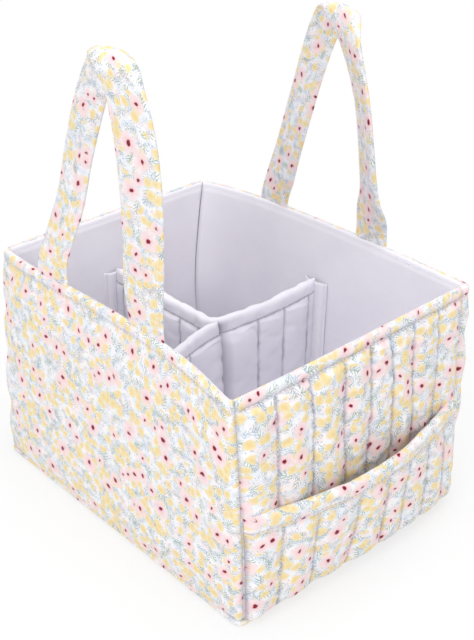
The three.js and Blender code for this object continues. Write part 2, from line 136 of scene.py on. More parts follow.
def flat_sheet(name, width, length, step, print_at=(0, 0), seams=(), rows=()):
    """A flat sheet: X from -width/2 to width/2, Y from 0 to length, its grid closer at sewn lines."""
    bpy.ops.object.select_all(action="DESELECT")
    across, up = grid_lines(-width / 2, width / 2, step, seams), grid_lines(0, length, step, rows)
    bpy.ops.mesh.primitive_grid_add(x_subdivisions=len(across) - 1, y_subdivisions=len(up) - 1, size=1)
    piece = bpy.context.object
    piece.name = piece.data.name = name
    bpy.ops.object.mode_set(mode="EDIT")
    bpy.ops.transform.resize(value=(width, length, 1))
    bpy.ops.transform.translate(value=(0, length / 2, 0))
    bpy.ops.object.mode_set(mode="OBJECT")
    layer = piece.data.uv_layers[0]
    layer.name = "cloth"
    flat = np.empty(2 * len(layer.data))
    layer.data.foreach_get("uv", flat)
    flat = flat.reshape(-1, 2)
    points = points_of(piece)
    points[:, 0] = np.interp(points[:, 0] / width + 0.5, np.linspace(0, 1, len(across)), across)
    points[:, 1] = np.interp(points[:, 1] / length, np.linspace(0, 1, len(up)), up)
    set_points(piece, points)
    flat[:, 0] = np.interp(flat[:, 0], np.linspace(0, 1, len(across)), across)
    flat[:, 1] = np.interp(flat[:, 1], np.linspace(0, 1, len(up)), up)
    layer.data.foreach_set("uv", (flat + np.array(print_at)).ravel())
    return piece


def apply_all(piece):
    only(piece)
    for modifier in list(piece.modifiers):
        bpy.ops.object.modifier_apply(modifier=modifier.name)


def smooth(share):
    share = np.clip(share, 0, 1)
    return share * share * (3 - 2 * share)


def hump(distance, reach):
    """A soft hump, 1 at no distance and about 0 beyond its reach."""
    return np.exp(-2 * (distance / reach) ** 2)


def shade_seams(piece, share):
    """Keeps how deep each point lies in a seam, for the painted shade in the cloth's colour."""
    layer = piece.data.attributes.new("seam", "FLOAT", "POINT")
    layer.data.foreach_set("value", np.clip(share, 0, 1))


# %% [markdown]
# ## Puffing a quilt
#
# Quilting is two cloths sewn through wadding along lines. The cloth between the lines swells and the
# cloth at them puckers. A cloth simulation does both: the sheet starts with its channels raised, the
# sewn points are pinned, pressure blows up what lies between, and a little slack in the cloth
# gives the puckers.


# %% The cloth simulation
sewn_rise = 0.05 * MM  # cloth that rises less than this is sewn down
most_swell = 3 * MM  # the furthest that the simulation may move a point
puff_frames = 18


def puff(piece, rise_at, slack, pressure):
    """Swells a flat sheet between its sewn places, where rise_at gives no rise."""
    only(piece)
    rest = points_of(piece)
    rest[:, 2] = rise_at(rest[:, 0], rest[:, 1])
    set_points(piece, rest)
    sewn = piece.vertex_groups.new(name="sewn")
    sewn.add([int(i) for i in np.flatnonzero(rest[:, 2] < sewn_rise)], 1, "REPLACE")
    cloth = piece.modifiers.new("puff", "CLOTH")
    settings = cloth.settings
    settings.quality = 5
    settings.mass = 0.15
    settings.tension_stiffness = settings.compression_stiffness = 12
    settings.shear_stiffness = 6
    settings.bending_stiffness = 0.1
    settings.vertex_group_mass = sewn.name
    settings.use_pressure = True
    settings.uniform_pressure_force = pressure
    settings.shrink_min = settings.shrink_max = -slack
    settings.effector_weights.gravity = 0
    for number in range(1, puff_frames + 1):
        bpy.context.scene.frame_set(number)
    apply_all(piece)
    bpy.context.scene.frame_set(1)
    piece.vertex_groups.clear()
    puffed = rest + np.clip(points_of(piece) - rest, -most_swell, most_swell)
    set_points(piece, puffed)
    print(piece.name, len(puffed), "points, rise", round(puffed[:, 2].max() / MM, 1), "mm")


# %% [markdown]
# ## Profiles
#
# Cloth follows lines: up a wall, over a rim, along a strap. A profile is such a line in a plane,
# drawn from straight stretches and arcs, and read by the distance along it, so that cloth laid on it
# keeps its length.


# %% Lines that cloth follows
def arc(centre, radius, start, end, steps=12):
    """Points on a round stretch, from one angle to another in degrees."""
    angles = np.radians(np.linspace(start, end, steps + 1))
    return [(centre[0] + radius * math.cos(a), centre[1] + radius * math.sin(a)) for a in angles]


class Profile:
    """A line in a plane, read by distance along it: its points and the way its face looks."""

    def __init__(self, points):
        points = np.array(points)
        steps = np.linalg.norm(np.diff(points, axis=0), axis=1)
        keep = np.concatenate([[True], steps > 1e-7])
        self.points = points[keep]
        steps = np.linalg.norm(np.diff(self.points, axis=0), axis=1)
        self.marks = np.concatenate([[0], np.cumsum(steps)])
        self.length = self.marks[-1]

    def at(self, distance):
        return np.stack([np.interp(distance, self.marks, self.points[:, i]) for i in (0, 1)], -1)

    def facing(self, distance):
        step = 0.4 * MM
        distance = np.clip(distance, step, self.length - step)
        along = self.at(distance + step) - self.at(distance - step)
        along /= np.linalg.norm(along, axis=-1, keepdims=True)
        return np.stack([along[..., 1], -along[..., 0]], -1)

    def passing(self, level):
        """The first distance at which the line reaches a level."""
        return self.marks[int(np.argmax(self.points[:, 1] >= level))]


# %% [markdown]
# ## How the soft box stands
#
# Cloth walls don't stand true. In the photograph the two long rims lean the same way at their
# middle, the near one also rises there, the far end is drawn in at its top corners and the nearest
# corner slumps. Each wall piece, lining and divider panel passes through this one function, so
# neighbours stay together. Nothing moves at the base.

# %% The stance of the walls
lean_left, lean_right, lift_left = 7 * MM, 4.5 * MM, 4 * MM
drawn_in = 12.5 * MM  # at each far corner
lean_curve = 1.4  # above 1, a wall leans more towards its rim
slump_by, slump_reach = np.array([5.5, 2.5, 3.5]) * MM, 55 * MM  # of the corner nearest the camera


def stand(points):
    """Leans and draws in the upper part of the box, as the soft walls do."""
    x, y, z = np.moveaxis(np.asarray(points, float), -1, 0)
    back = np.clip((half_length - x) / (2 * half_length), 0, 1)
    middle = np.sin(math.pi * back)
    upward = np.clip(z / height, 0, 1)
    across = np.clip((y / half_width + 1) / 2, 0, 1)
    left = (drawn_in * back**8 + lean_left * middle**0.9) * upward**lean_curve
    right = -drawn_in * back**8 * upward**0.5 + lean_right * middle * upward**lean_curve
    slump = hump(np.hypot(x - half_length, y + half_width), slump_reach) * upward**2
    y = y + (1 - across) * left + across * right
    z = z + lift_left * middle**0.9 * (1 - across) ** 2 * upward**2
    return np.stack([x, y, z], -1) - slump[..., None] * slump_by


# %% [markdown]
# ## Wrapping a sheet round the box
#
# Each wall is described once, facing along +X, and turned to its side. A side panel runs round both
# corners of the box to the seams on the ends, and a lining turns half of each corner, to the seam in
# it. Nearer the rim a corner has further to go, so the sheet is eased to fit.

# %% From flat cloth to a wall
walls = {"left": -90, "front": 0, "right": 90, "back": 180}


def turned(along, outward, z, side):
    """A place on a wall: along it, outward from the middle of the box, and up."""
    angle = math.radians(walls[side])
    x = outward * math.cos(angle) - along * math.sin(angle)
    y = outward * math.sin(angle) + along * math.cos(angle)
    return np.stack([x, y, z], -1)


def corner_reach(side, offset, corner, turn, past):
    """How far along its wall a sheet runs: the straight stretch, its share of the corner, and past it."""
    other = half_length if side in ("left", "right") else half_width
    return other + offset - corner, other + offset - corner + corner * turn + past


def wall_wrap(side, line, corner=0.0, turn=0.0, past=0.0, half=1.0, facing=1, shift=0.0):
    """How a flat sheet lies on a wall: u along it, v up its line, w off its face."""
    reach = half_width if side in ("left", "right") else half_length

    def wrap(u, v, w):
        place, face = line.at(v), line.facing(v) * facing
        offset = place[..., 0] + w * face[..., 0]
        z = place[..., 1] + w * face[..., 1]
        along, outward = (u + shift) * facing, reach + offset
        if corner:
            straight, whole = corner_reach(side, offset, corner, turn, past)
            far = np.abs(along) / half * whole
            angle = np.clip((far - straight) / corner, 0, turn)
            beyond = np.maximum(far - straight - corner * turn, 0)
            along = np.sign(along) * (np.minimum(far, straight) + corner * np.sin(angle))
            outward = outward - corner + corner * np.cos(angle) - beyond
        return stand(turned(along, outward, z, side))

    return wrap


def refine(piece):
    """Adds a finer, rounded level to a piece and applies all its modifiers."""
    finer = piece.modifiers.new("finer", "SUBSURF")
    finer.levels = finer.render_levels = 1
    apply_all(piece)
    bpy.ops.object.shade_smooth()


def lay(piece, wrap, thickness=1 * MM):
    """Lays a flat, puffed sheet on its place, gives the cloth its thickness and smooths it."""
    u, v, w = points_of(piece).T
    set_points(piece, wrap(u, v, w))
    solid = piece.modifiers.new("thickness", "SOLIDIFY")
    solid.thickness, solid.offset = thickness, -1
    refine(piece)


def finish_piece(piece, body, nodes, material):
    piece.data.materials.clear()
    piece.data.materials.append(material)
    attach(piece, body)
    if nodes:
        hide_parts(*nodes)


# %% [markdown]
# ## Stitches
#
# A row of machine stitches is one small spindle of thread, modelled once and copied along the seam.
# Each copy is laid on the real surface of the sewn cloth, and pulled a little into it.

# %% A stitch, and rows of it
stitch_pitch = 3.4 * MM
path_step = 2 * MM  # between the points of a path that stitches follow
bpy.ops.mesh.primitive_uv_sphere_add(segments=6, ring_count=4, radius=1)
spindle = bpy.context.object
spindle.name = "stitch_pattern"
bpy.ops.object.mode_set(mode="EDIT")
bpy.ops.transform.resize(value=(0.34 * MM, 0.24 * MM, 1.25 * MM))
bpy.ops.object.mode_set(mode="OBJECT")
spindle_points = points_of(spindle)
spindle_faces = [tuple(face.vertices) for face in spindle.data.polygons]
bpy.data.objects.remove(spindle)


def stitch_row(piece, path):
    """The frames of stitches that lie on a piece's surface along a path near it."""
    marks = np.concatenate([[0], np.cumsum(np.linalg.norm(np.diff(path, axis=0), axis=1))])
    count = int(marks[-1] / stitch_pitch)
    middles = (np.arange(count) + 0.5) * marks[-1] / count
    at = lambda place: np.stack([np.interp(place, marks, path[:, i]) for i in range(3)], -1)
    made = []
    for place, ahead, behind in zip(at(middles), at(middles + 0.5 * MM), at(middles - 0.5 * MM)):
        found, spot, out, _ = piece.closest_point_on_mesh(Vector(place))
        if found:
            across = out.cross(Vector(ahead - behind)).normalized()
            made.append((spot + out * 0.08 * MM, across, out, across.cross(out)))
    return made


def sew(name, rows):
    """One mesh for a set of stitch rows."""
    frames = np.array([[list(part) for part in made] for row in rows for made in row])
    points = frames[:, None, 0] + np.einsum("pk,nkd->npd", spindle_points, frames[:, 1:])
    count = len(spindle_points)
    faces = [tuple(count * number + corner for corner in face)
             for number in range(len(frames)) for face in spindle_faces]
    mesh = bpy.data.meshes.new(name)
    mesh.from_pydata(points.reshape(-1, 3).tolist(), [], faces)
    row = bpy.data.objects.new(name, mesh)
    bpy.context.scene.collection.objects.link(row)
    only(row)
    bpy.ops.object.shade_smooth()
    row.data.materials.append(thread)
    print(name, len(frames), "stitches")
    return row


def line_on(wrap, u, v, lift=1 * MM):
    """A path on a wrapped sheet, through flat places u and v."""
    u, v = np.broadcast_arrays(np.asarray(u, float), np.asarray(v, float))
    return wrap(u, v, np.full(u.shape, lift))


# %% [markdown]
# ## Shader maths in Python
#
# A small class wraps a socket, so that sums on values read as sums. Colours and vectors go through
# their own nodes.


# %% Sockets and nodes
class Value:
    """A number socket that takes part in Python sums."""

    def __init__(self, paint, socket):
        self.paint, self.socket = paint, socket

    def maths(self, operation, *others):
        return self.paint.node("Math", {"operation": operation}, self, *others)[0]

    def __add__(self, other): return self.maths("ADD", other)
    def __radd__(self, other): return self.maths("ADD", other)
    def __sub__(self, other): return self.maths("SUBTRACT", other)
    def __rsub__(self, other): return self.paint.node("Math", {"operation": "SUBTRACT"}, other, self)[0]
    def __mul__(self, other): return self.maths("MULTIPLY", other)
    def __rmul__(self, other): return self.maths("MULTIPLY", other)
    def __truediv__(self, other): return self.maths("DIVIDE", other)
    def __pow__(self, other): return self.maths("POWER", other)
    def __mod__(self, other): return self.maths("FLOORED_MODULO", other)


class Paint:
    """One material's nodes."""

    def __init__(self, name):
        self.material = bpy.data.materials.new(name)
        self.material.use_nodes = True
        self.tree = self.material.node_tree
        self.shader = self.tree.nodes["Principled BSDF"]

    def node(self, kind, settings=None, *inputs, **named):
        """Adds a node: its settings first, then its sockets by order or by name."""
        made = self.tree.nodes.new("ShaderNode" + kind)
        for key, value in (settings or {}).items():
            setattr(made, key, value)
        for key, value in [*enumerate(inputs), *((k.replace("_", " "), v) for k, v in named.items())]:
            self.put(made.inputs[key], value)
        return [Value(self, out) for out in made.outputs]

    def put(self, socket, value):
        if isinstance(value, Value):
            self.tree.links.new(value.socket, socket)
        elif value is not None:
            socket.default_value = value

    def set(self, **sockets):
        for key, value in sockets.items():
            self.put(self.shader.inputs[key.replace("_", " ")], value)

    def ease(self, value, low, high):
        """0 below low, 1 above high and a smooth step between."""
        return self.node("MapRange", {"interpolation_type": "SMOOTHSTEP"}, value, low, high, 0.0, 1.0)[0]

    def mix(self, factor, first, second):
        made = self.tree.nodes.new("ShaderNodeMix")
        made.data_type = "RGBA"
        for socket, value in ((made.inputs[0], factor), (made.inputs[6], first), (made.inputs[7], second)):
            self.put(socket, value)
        return Value(self, made.outputs[2])

    def noise(self, vector, scale, detail=2.0, dimensions="2D"):
        settings = {"noise_dimensions": dimensions}
        return self.node("TexNoise", settings, Vector=vector, Scale=scale, Detail=detail)

    def bump(self, height, distance, strength=1.0):
        return self.node("Bump", None, Height=height, Distance=distance, Strength=strength)[0]


def colour(red, green, blue):
    """A colour as it shows on a screen, in 0 to 255, as the shader's linear light."""
    linear = [((c / 255 + 0.055) / 1.055) ** 2.4 if c > 10 else c / 255 / 12.92 for c in (red, green, blue)]
    return (*linear, 1)


# %% [markdown]
# ## The printed cotton
#
# The print is a small scattered floral of my own: five-petalled pink blossoms with dark red hearts,
# clusters of three mustard buds, leafy sprigs and pale blue specks on white. Each motif is scattered
# by a Voronoi texture: its cells give a place, and the cell's colour gives a turn and a size. The
# motif is then drawn about that place with plain maths, in metres on the flat cloth.


# %% Scattering a motif
def scatter(paint, flat, cell, offset, jitter=0.8):
    """The place inside a motif, in metres, turned at random, and three random numbers."""
    moved = paint.node("VectorMath", {"operation": "ADD"}, flat, (*offset, 0.0))[0]
    settings = {"voronoi_dimensions": "2D"}
    cells = paint.node("TexVoronoi", settings, Vector=moved, Scale=1 / cell, Randomness=jitter)
    seed = paint.node("SeparateColor", None, cells[1])
    local = paint.node("VectorMath", {"operation": "SUBTRACT"}, moved, cells[2])[0]
    spun = paint.node("VectorRotate", {"rotation_type": "Z_AXIS"}, Vector=local, Angle=seed[0] * TURN)[0]
    x, y, _ = paint.node("SeparateXYZ", None, spun)
    return x, y, seed


def petals(paint, x, y, size, count, depth):
    """How far out a place lies in a flower: 0 at its heart and 1 at the edge of its petals."""
    angle = y.maths("ARCTAN2", x)
    lobe = (angle * (count / 2)).maths("COSINE").maths("ABSOLUTE") ** 0.5
    away = (x * x + y * y).maths("SQRT")
    return away / (lobe * depth + (1 - depth)) / size


def sprig(paint, x, y, length, pitch, leaf):
    """A leafy stem: a thin line with pairs of slanting leaves."""
    curved = x + y * y * (0.168 / length)
    aside = curved.maths("ABSOLUTE")
    up = y - aside * 1.3
    row = (up % pitch) - pitch / 2
    across = (aside - leaf * 0.8) / (leaf * 0.85)
    leaves = 1 - paint.ease(across * across + (row * row) / (0.27 * leaf) ** 2, 0.5, 1.3)
    stem = 1 - paint.ease(aside, 0.1 * MM, 0.45 * MM)
    ends = 1 - paint.ease(y.maths("ABSOLUTE"), length * 0.4, length * 0.5)
    return leaves.maths("MAXIMUM", stem) * ends


def painted_seam_shade(paint, cloth, strength):
    """Painted shade: cloth pulled down into a seam is darkened towards a grey-lilac, by the seam attribute.
    """
    seam = paint.node("Attribute", {"attribute_name": "seam"})[2]
    return paint.mix(seam * strength, cloth, colour(132, 130, 148))


def woven(paint, flat, pitch):
    """The crossing threads of a plain weave, from -1 to 1."""
    x, y, _ = paint.node("SeparateXYZ", None, flat)
    threads = TURN / pitch
    return (x * threads).maths("SINE") * (y * threads).maths("SINE")


def printed_cotton(name):
    paint = Paint(name)
    flat = paint.node("UVMap", {"uv_map": "cloth"})[0]
    wobble, reach = paint.noise(flat, 190.0, 2.0)[1], 1.3 * MM
    scaled = {"operation": "MULTIPLY_ADD"}
    shift = paint.node("VectorMath", scaled, wobble, (2 * reach,) * 3, (-reach,) * 3)[0]
    drawn = paint.node("VectorMath", {"operation": "ADD"}, flat, shift)[0]
    streak = paint.noise(flat, 700.0, 2.0)[0]
    wash = paint.noise(flat, 95.0, 3.0)[0]
    cloth = paint.mix(paint.ease(wash, 0.46, 0.62) * 0.5, colour(252, 250, 251), colour(232, 239, 245))
    cloth = paint.mix(paint.ease(wash, 0.5, 0.36) * 0.6, cloth, colour(250, 233, 230))
    # leafy sprigs in sage, blue-grey and olive, and pale blue specks between them
    for cell, offset, tone, strength, pitch in (
        (11 * MM, (0.31, 0.72), colour(132, 168, 146), 0.75, 2.7 * MM),
        (10 * MM, (0.83, 0.19), colour(140, 166, 190), 0.6, 2.4 * MM),
        (9 * MM, (0.47, 0.37), colour(152, 160, 138), 0.6, 2.2 * MM),
        (8.5 * MM, (0.17, 0.87), colour(176, 190, 216), 0.5, 2.1 * MM),
    ):
        x, y, seed = scatter(paint, drawn, cell, offset, 1.0)
        mask = sprig(paint, x, y, cell * 1.1, pitch, pitch * 0.66) * paint.ease(seed[2], 0.1, 0.7)
        cloth = paint.mix(mask * strength, cloth, tone)
    x, y, seed = scatter(paint, drawn, 3.4 * MM, (0.71, 0.28), 1.0)
    speck = 1 - paint.ease((x * x + y * y).maths("SQRT"), 0.3 * MM, 0.75 * MM)
    cloth = paint.mix(speck * paint.ease(seed[1], 0.45, 0.5) * 0.6, cloth, colour(150, 178, 206))
    # mustard petals, mostly in twos and threes
    for cell, offset, share in ((9 * MM, (0.11, 0.53), 0.24), (10.5 * MM, (0.67, 0.91), 0.2)):
        x, y, seed = scatter(paint, drawn, cell, offset, 0.75)
        moved = paint.node("VectorMath", {"operation": "ADD"}, flat, (*offset, 0.0))[0]
        grove = paint.noise(moved, 42.0, 1.0)[0]
        chosen = paint.ease(grove * 0.75 + seed[1] * 0.25, 0.56 - share * 0.25, 0.575 - share * 0.25)
        out = (x * x * 1.25 + y * y).maths("SQRT") / (seed[0] * 1.4 * MM + 3.0 * MM)
        paler = paint.ease(out + streak * 0.5, 0.35, 1.2)
        yolk = paint.mix(paler, colour(246, 218, 148), colour(250, 232, 184))
        cloth = paint.mix((1 - paint.ease(out, 0.84, 1.04)) * chosen * 0.9, cloth, yolk)
    # pink blossoms with dark red hearts
    for cell, offset in ((28 * MM, (0.23, 0.41)), (31 * MM, (0.59, 0.13))):
        x, y, seed = scatter(paint, drawn, cell, offset, 0.9)
        grown = seed[1] * 0.5 + 0.72
        out = petals(paint, x, y, 7.4 * MM, 5, 0.34) / grown
        edge = 1 - paint.ease(out, 0.7, 1.02)
        blush = 1 - paint.ease(out + streak * 0.3, 0.05, 0.9)
        petal = paint.mix(blush, colour(253, 229, 229), colour(248, 200, 206))
        cloth = paint.mix(edge * 0.85, cloth, petal)
        heart = (x * x + y * y * 1.9).maths("SQRT") / grown
        cloth = paint.mix((1 - paint.ease(heart, 1.6 * MM, 2.6 * MM)) * 0.35, cloth, colour(226, 120, 134))
        cloth = paint.mix(1 - paint.ease(heart, 1.35 * MM, 1.8 * MM), cloth, colour(134, 20, 42))
    # the weave
    weave = woven(paint, flat, 0.55 * MM)
    fuzz = paint.noise(flat, 900.0, 2.0)[0]
    # painted shade in the seams and creases, from the seam attribute
    cloth = painted_seam_shade(paint, cloth, 0.75)
    paint.set(Base_Color=cloth, Roughness=fuzz * 0.15 + 0.78)
    paint.set(Normal=paint.bump(weave * 0.5 + fuzz * 0.6, 0.08 * MM, 0.5))
    paint.shader.inputs["Sheen Weight"].default_value = 0.08
    paint.shader.inputs["Sheen Roughness"].default_value = 0.5
    paint.shader.inputs["Specular IOR Level"].default_value = 0.25
    return paint.material


print_cotton = printed_cotton("print_cotton")
print("print nodes", len(print_cotton.node_tree.nodes))

# %% [markdown]
# ## The plain cloths
#
# The lining is a smooth, slightly satiny lilac-grey cotton. Thread, tape, wadding and board each
# have their own small surface.


# %% Plain cloths
def plain_cloth(name, light, dark, pitch=0.45 * MM, rough=0.7, sheen=0.2, relief=0.05 * MM, seams=0.5):
    paint = Paint(name)
    flat = paint.node("UVMap", {"uv_map": "cloth"})[0]
    weave = woven(paint, flat, pitch)
    stretched = paint.node("VectorMath", {"operation": "MULTIPLY"}, flat, (90.0, 1400.0, 1.0))[0]
    slub = paint.noise(stretched, 1.0)[0]
    cloud = paint.noise(flat, 24.0, 3.0)[0]
    cloth = paint.mix(paint.ease(cloud * 0.7 + slub * 0.3, 0.3, 0.7), light, dark)
    # painted shade in seams and creases; the seams argument sets its strength
    paint.set(Base_Color=painted_seam_shade(paint, cloth, seams))
    paint.set(Roughness=slub * 0.12 + rough, Normal=paint.bump(weave * 0.5 + slub, relief, 0.5))
    paint.shader.inputs["Sheen Weight"].default_value = sheen
    paint.shader.inputs["Specular IOR Level"].default_value = 0.3
    return paint.material


def plain_solid(name, light, dark, scale, rough, relief):
    paint = Paint(name)
    place = paint.node("TexCoord")[3]
    grain = paint.noise(place, scale, 3.0, "3D")[0]
    paint.set(Base_Color=paint.mix(grain, light, dark), Roughness=grain * 0.1 + rough)
    paint.set(Normal=paint.bump(grain, relief))
    return paint.material


lining_cotton = plain_cloth("lining_cotton", colour(248, 245, 251), colour(243, 240, 247))
# the divider's cloth shows stronger painted shade in its seams
pad_cotton = plain_cloth("pad_cotton", colour(245, 243, 250), colour(240, 238, 246), seams=0.8)
thread = plain_solid("sewing_thread", colour(250, 246, 248), colour(238, 232, 236), 900.0, 0.6, 0.1 * MM)
board_sheet = plain_solid("board_sheet", colour(205, 200, 190), colour(192, 186, 176), 300.0, 0.7, 0.1 * MM)
wadding = plain_solid("wadding", colour(246, 245, 242), colour(232, 231, 228), 400.0, 0.9, 0.6 * MM)
tape_cloth = plain_cloth("tape_cloth", colour(230, 228, 236), colour(214, 212, 222),
                         1.1 * MM, 0.85, 0.3, 0.3 * MM)
print("materials:", [material.name for material in bpy.data.materials if material.use_nodes])


# %% [markdown]
# ## The outer cloth of the long sides
#
# Each long side is one smooth padded panel that wraps both corners of the box, with a seam on each
# end. It starts under the box, runs up the wall and rolls right over the rim, and is sewn to the
# lining on the inside. A row of stitches lies just under the rim.

# %% The line of the outer cloth, and its long panels
rim_roll, foot_roll = 2.5 * MM, 3 * MM
shell_foot = 0.7 * MM
stitch_drop = 7.5 * MM  # from the rim down to its row of stitches
rim_centre = (-rim_roll, height - rim_roll)
shell_line = Profile(
    [(-14 * MM, shell_foot)]
    + arc((-foot_roll, foot_roll + shell_foot), foot_roll, -90, 0)
    + arc(rim_centre, rim_roll, 0, 124, 14)
    + arc(rim_centre, 1.6 * MM, 140, 140, 1)
)
shell_stitch = shell_line.passing(height - rim_roll) - (stitch_drop - rim_roll)
foot_seam = shell_line.passing(foot_roll)


def ripple(u, v, size, seed, waves=7):
    """Soft uneven waves in the cloth, from -1 to 1."""
    chance = np.random.default_rng(seed)
    total = np.zeros_like(u)
    for _ in range(waves):
        heading, phase = chance.uniform(0, TURN, 2)
        length = size * chance.uniform(0.7, 1.8)
        total += np.sin(TURN * (u * math.cos(heading) + v * math.sin(heading)) / length + phase)
    return total / waves


def rim_band(v, stitch, end):
    """The padded roll between the rim's stitches and the seam on its top."""
    share = np.clip((v - stitch) / (end - stitch), 0, 1)
    return np.sin(math.pi * share) ** 0.7


shell_wraps, shell_panels = {}, {}


def tucked(distance):
    """Cloth turning down into the seam at its own edge."""
    return -1.7 * MM * hump(distance, 2.2 * MM)


shell_corner = 4 * MM
past_corner = {"left": 0.5 * MM, "right": 6 * MM}  # how far each side panel goes on along the ends
seam_at = {side: half_width - shell_corner - past for side, past in past_corner.items()}


def side_rise(u, v):
    edge = smooth((side_half - np.abs(u)) / (7 * MM)) * smooth((v - foot_seam + 3 * MM) / (9 * MM))
    swell = 0.9 * MM + 0.55 * MM * ripple(u, v * 0.6, 60 * MM, 3)
    puckers = 0.25 * MM * ripple(u, v * 0.3, 9 * MM, 4) * hump(v - shell_stitch, 16 * MM)
    below = (swell + puckers) * edge * smooth((shell_stitch - v) / (7 * MM))
    return np.where(v < shell_stitch, below, 0.8 * MM * rim_band(v, shell_stitch, shell_line.length))


for number, side in enumerate(("left", "right")):
    round_corner = dict(corner=shell_corner, turn=math.pi / 2, past=past_corner[side])
    side_half = corner_reach(side, 0, *round_corner.values())[1]
    panel = flat_sheet(f"outer_side_{side}", 2 * side_half, shell_line.length, 3 * MM,
                       (0.3 * number, 0.02), rows=[shell_stitch])
    puff(panel, side_rise, slack=0.006, pressure=1.5)
    u, v, w = points_of(panel).T
    edge = side_half - np.abs(u)
    # painted shade under the rim's stitches and at the panel's sewn edges
    shade_seams(panel, np.maximum(0.5 * hump(v - shell_stitch, 1.3 * MM), 0.5 * hump(edge, 1.2 * MM)))
    set_points(panel, np.stack([u, v, w + tucked(edge)], -1))
    shell_wraps[side] = wall_wrap(side, shell_line, half=side_half, **round_corner), side_half
    lay(panel, shell_wraps[side][0])
    shell_panels[side] = panel
    finish_piece(panel, "caddy", [f"side_panel_{side}"], print_cotton)

# %% [markdown]
# ## The quilted ends
#
# Each end is quilted in upright channels. Their seams stop at the stitches under the rim, and the
# cloth between them puffs out and puckers, as wadding makes it do.

# %% Quilted end panels
end_half = (seam_at["left"] + seam_at["right"]) / 2 + 0.6 * MM
end_middle = (seam_at["right"] - seam_at["left"]) / 2
quilt_step = 2.3 * MM  # of a quilted sheet's grid
end_sway, pocket_sway = (1.4 * MM, 23 * MM), (1 * MM, 19 * MM)  # how far seams wander, and over what length
end_seams = np.array([-79, -51, -21, 3, 25, 48, 74]) * MM - end_middle


def channels(u, seams, half, seed, least=0.8):
    """1 at each channel's crown and 0 at its seams, no two channels quite alike."""
    lines = np.concatenate([[-half], seams, [half]])
    number = np.clip(np.searchsorted(lines, u) - 1, 0, len(lines) - 2)
    width = lines[number + 1] - lines[number]
    share = np.clip((u - lines[number]) / width, 0, 1)
    heights = np.random.default_rng(seed).uniform(least, 1, len(lines))
    near = np.minimum(share, 1 - share) * width
    return np.where(near < 0.2 * MM, 0, np.sqrt(np.abs(np.sin(math.pi * share))) * heights[number])


def puckers(u, v, seams, pitch, seed):
    """Short folds that run out from both sides of each seam, from -1 to 1."""
    chance = np.random.default_rng(seed)
    total = np.zeros_like(u)
    for seam in seams:
        for facing in (-1, 1):
            own, phase, sway = pitch * chance.uniform(0.8, 1.3), *chance.uniform(0, TURN, 2)
            fold = np.sin(TURN * v / own + phase + 1.6 * np.sin(TURN * v / (3.7 * own) + sway))
            away = (u - seam) * facing
            total += np.where(away > 0, fold * np.exp(-away / (3.6 * MM)) * smooth(away / (0.8 * MM)), 0)
    return total


def seam_shade(u, v, seams, seed):
    """The uneven line of painted shade along a quilting seam."""
    away = np.min(np.abs(u[:, None] - np.asarray(seams)), axis=1)
    return hump(away, 1.3 * MM) * (0.75 + 0.5 * ripple(np.round(u, 2), v, 16 * MM, seed))


def end_rise(u, v):
    quilt = 3.6 * MM * channels(u, end_seams, end_half, 5) + 0.9 * MM * puckers(u, v, end_seams, 10 * MM, 6)
    quilt = np.where(quilt < sewn_rise, 0, quilt)
    quilt = quilt * smooth((v - foot_seam + 2 * MM) / (8 * MM)) * smooth((shell_stitch - v) / (5 * MM))
    band = (0.9 * MM + 0.3 * MM * ripple(u, v, 12 * MM, 7)) * rim_band(v, shell_stitch, shell_line.length)
    return np.where(v < shell_stitch, quilt, band)


def belly(u, v):
    """The end bulges at its middle, where no board holds the wadding."""
    up = np.clip((v - foot_seam) / (shell_stitch - foot_seam), 0, 1)
    return 5 * MM * np.sin(math.pi * up) ** 0.8 * np.cos(math.pi / 2 * np.clip(u / end_half, -1, 1)) ** 0.5


def swaying(wrap, half, size, length):
    """A wrap whose seams wander a little sideways, as hand-guided seams do."""

    def bent(u, v, w):
        sway = np.sin(v / length + 9 * u / half) + 0.5 * np.sin(2.3 * v / length + 17 * u / half)
        return wrap(u + size * sway * (1 - (u / half) ** 2), v, w)

    return bent


for number, side in enumerate(("front", "back")):
    panel = flat_sheet(f"outer_end_{side}", 2 * end_half, shell_line.length, quilt_step,
                       (0.2 + 0.25 * number, 0.9), end_seams, [shell_stitch])
    puff(panel, end_rise, slack=0.03, pressure=16)
    u, v, w = points_of(panel).T
    edge = end_half - np.abs(u)
    # painted shade along the quilting seams, under the rim's stitches and at the sewn edges
    shade = seam_shade(u, v, end_seams, 9) * (v < shell_stitch)
    rim_shade, edge_shade = 0.7 * hump(v - shell_stitch, 1.5 * MM), 0.6 * hump(edge, 1.4 * MM)
    shade_seams(panel, np.maximum(shade, np.maximum(rim_shade, edge_shade)))
    set_points(panel, np.stack([u, v, w + belly(u, v) + tucked(edge)], -1))
    shift = end_middle if side == "front" else -end_middle
    shell_wraps[side] = swaying(wall_wrap(side, shell_line, shift=shift), end_half, *end_sway), end_half
    lay(panel, shell_wraps[side][0])
    shell_panels[side] = panel
    finish_piece(panel, "caddy", [f"end_panel_{side}"], print_cotton)

# %% [markdown]
# ## The lining
#
# The lining is a plain sheet on each wall and on the floor. It comes up the inside and meets the
# outer cloth just under the rim. Its corners are sewn, so a dark crease runs down each: the cloth dips
# there, and painted shade darkens it.

# %% Wall and floor linings
lining_line = Profile(
    [(-wall, floor_top - 1.2 * MM)]
    + [(-wall + 1.2 * MM * float(smooth(t)), height - (40 - 33 * t) * MM) for t in np.linspace(0, 1, 9)]
    + [(-wall + (1.2 + 1.4 * t) * MM, height - (7 - 4.5 * t) * MM) for t in np.linspace(0, 1, 5)]
    + arc(rim_centre, rim_roll + 0.4 * MM, 175, 128, 8)
    + arc(rim_centre, 2 * MM, 112, 112, 1)
)
lining_stitch = lining_line.passing(height - 4.2 * MM)
corner_slack = 17 * MM
lining_corner = dict(corner=2.5 * MM, turn=math.pi / 4, past=0.3 * MM)


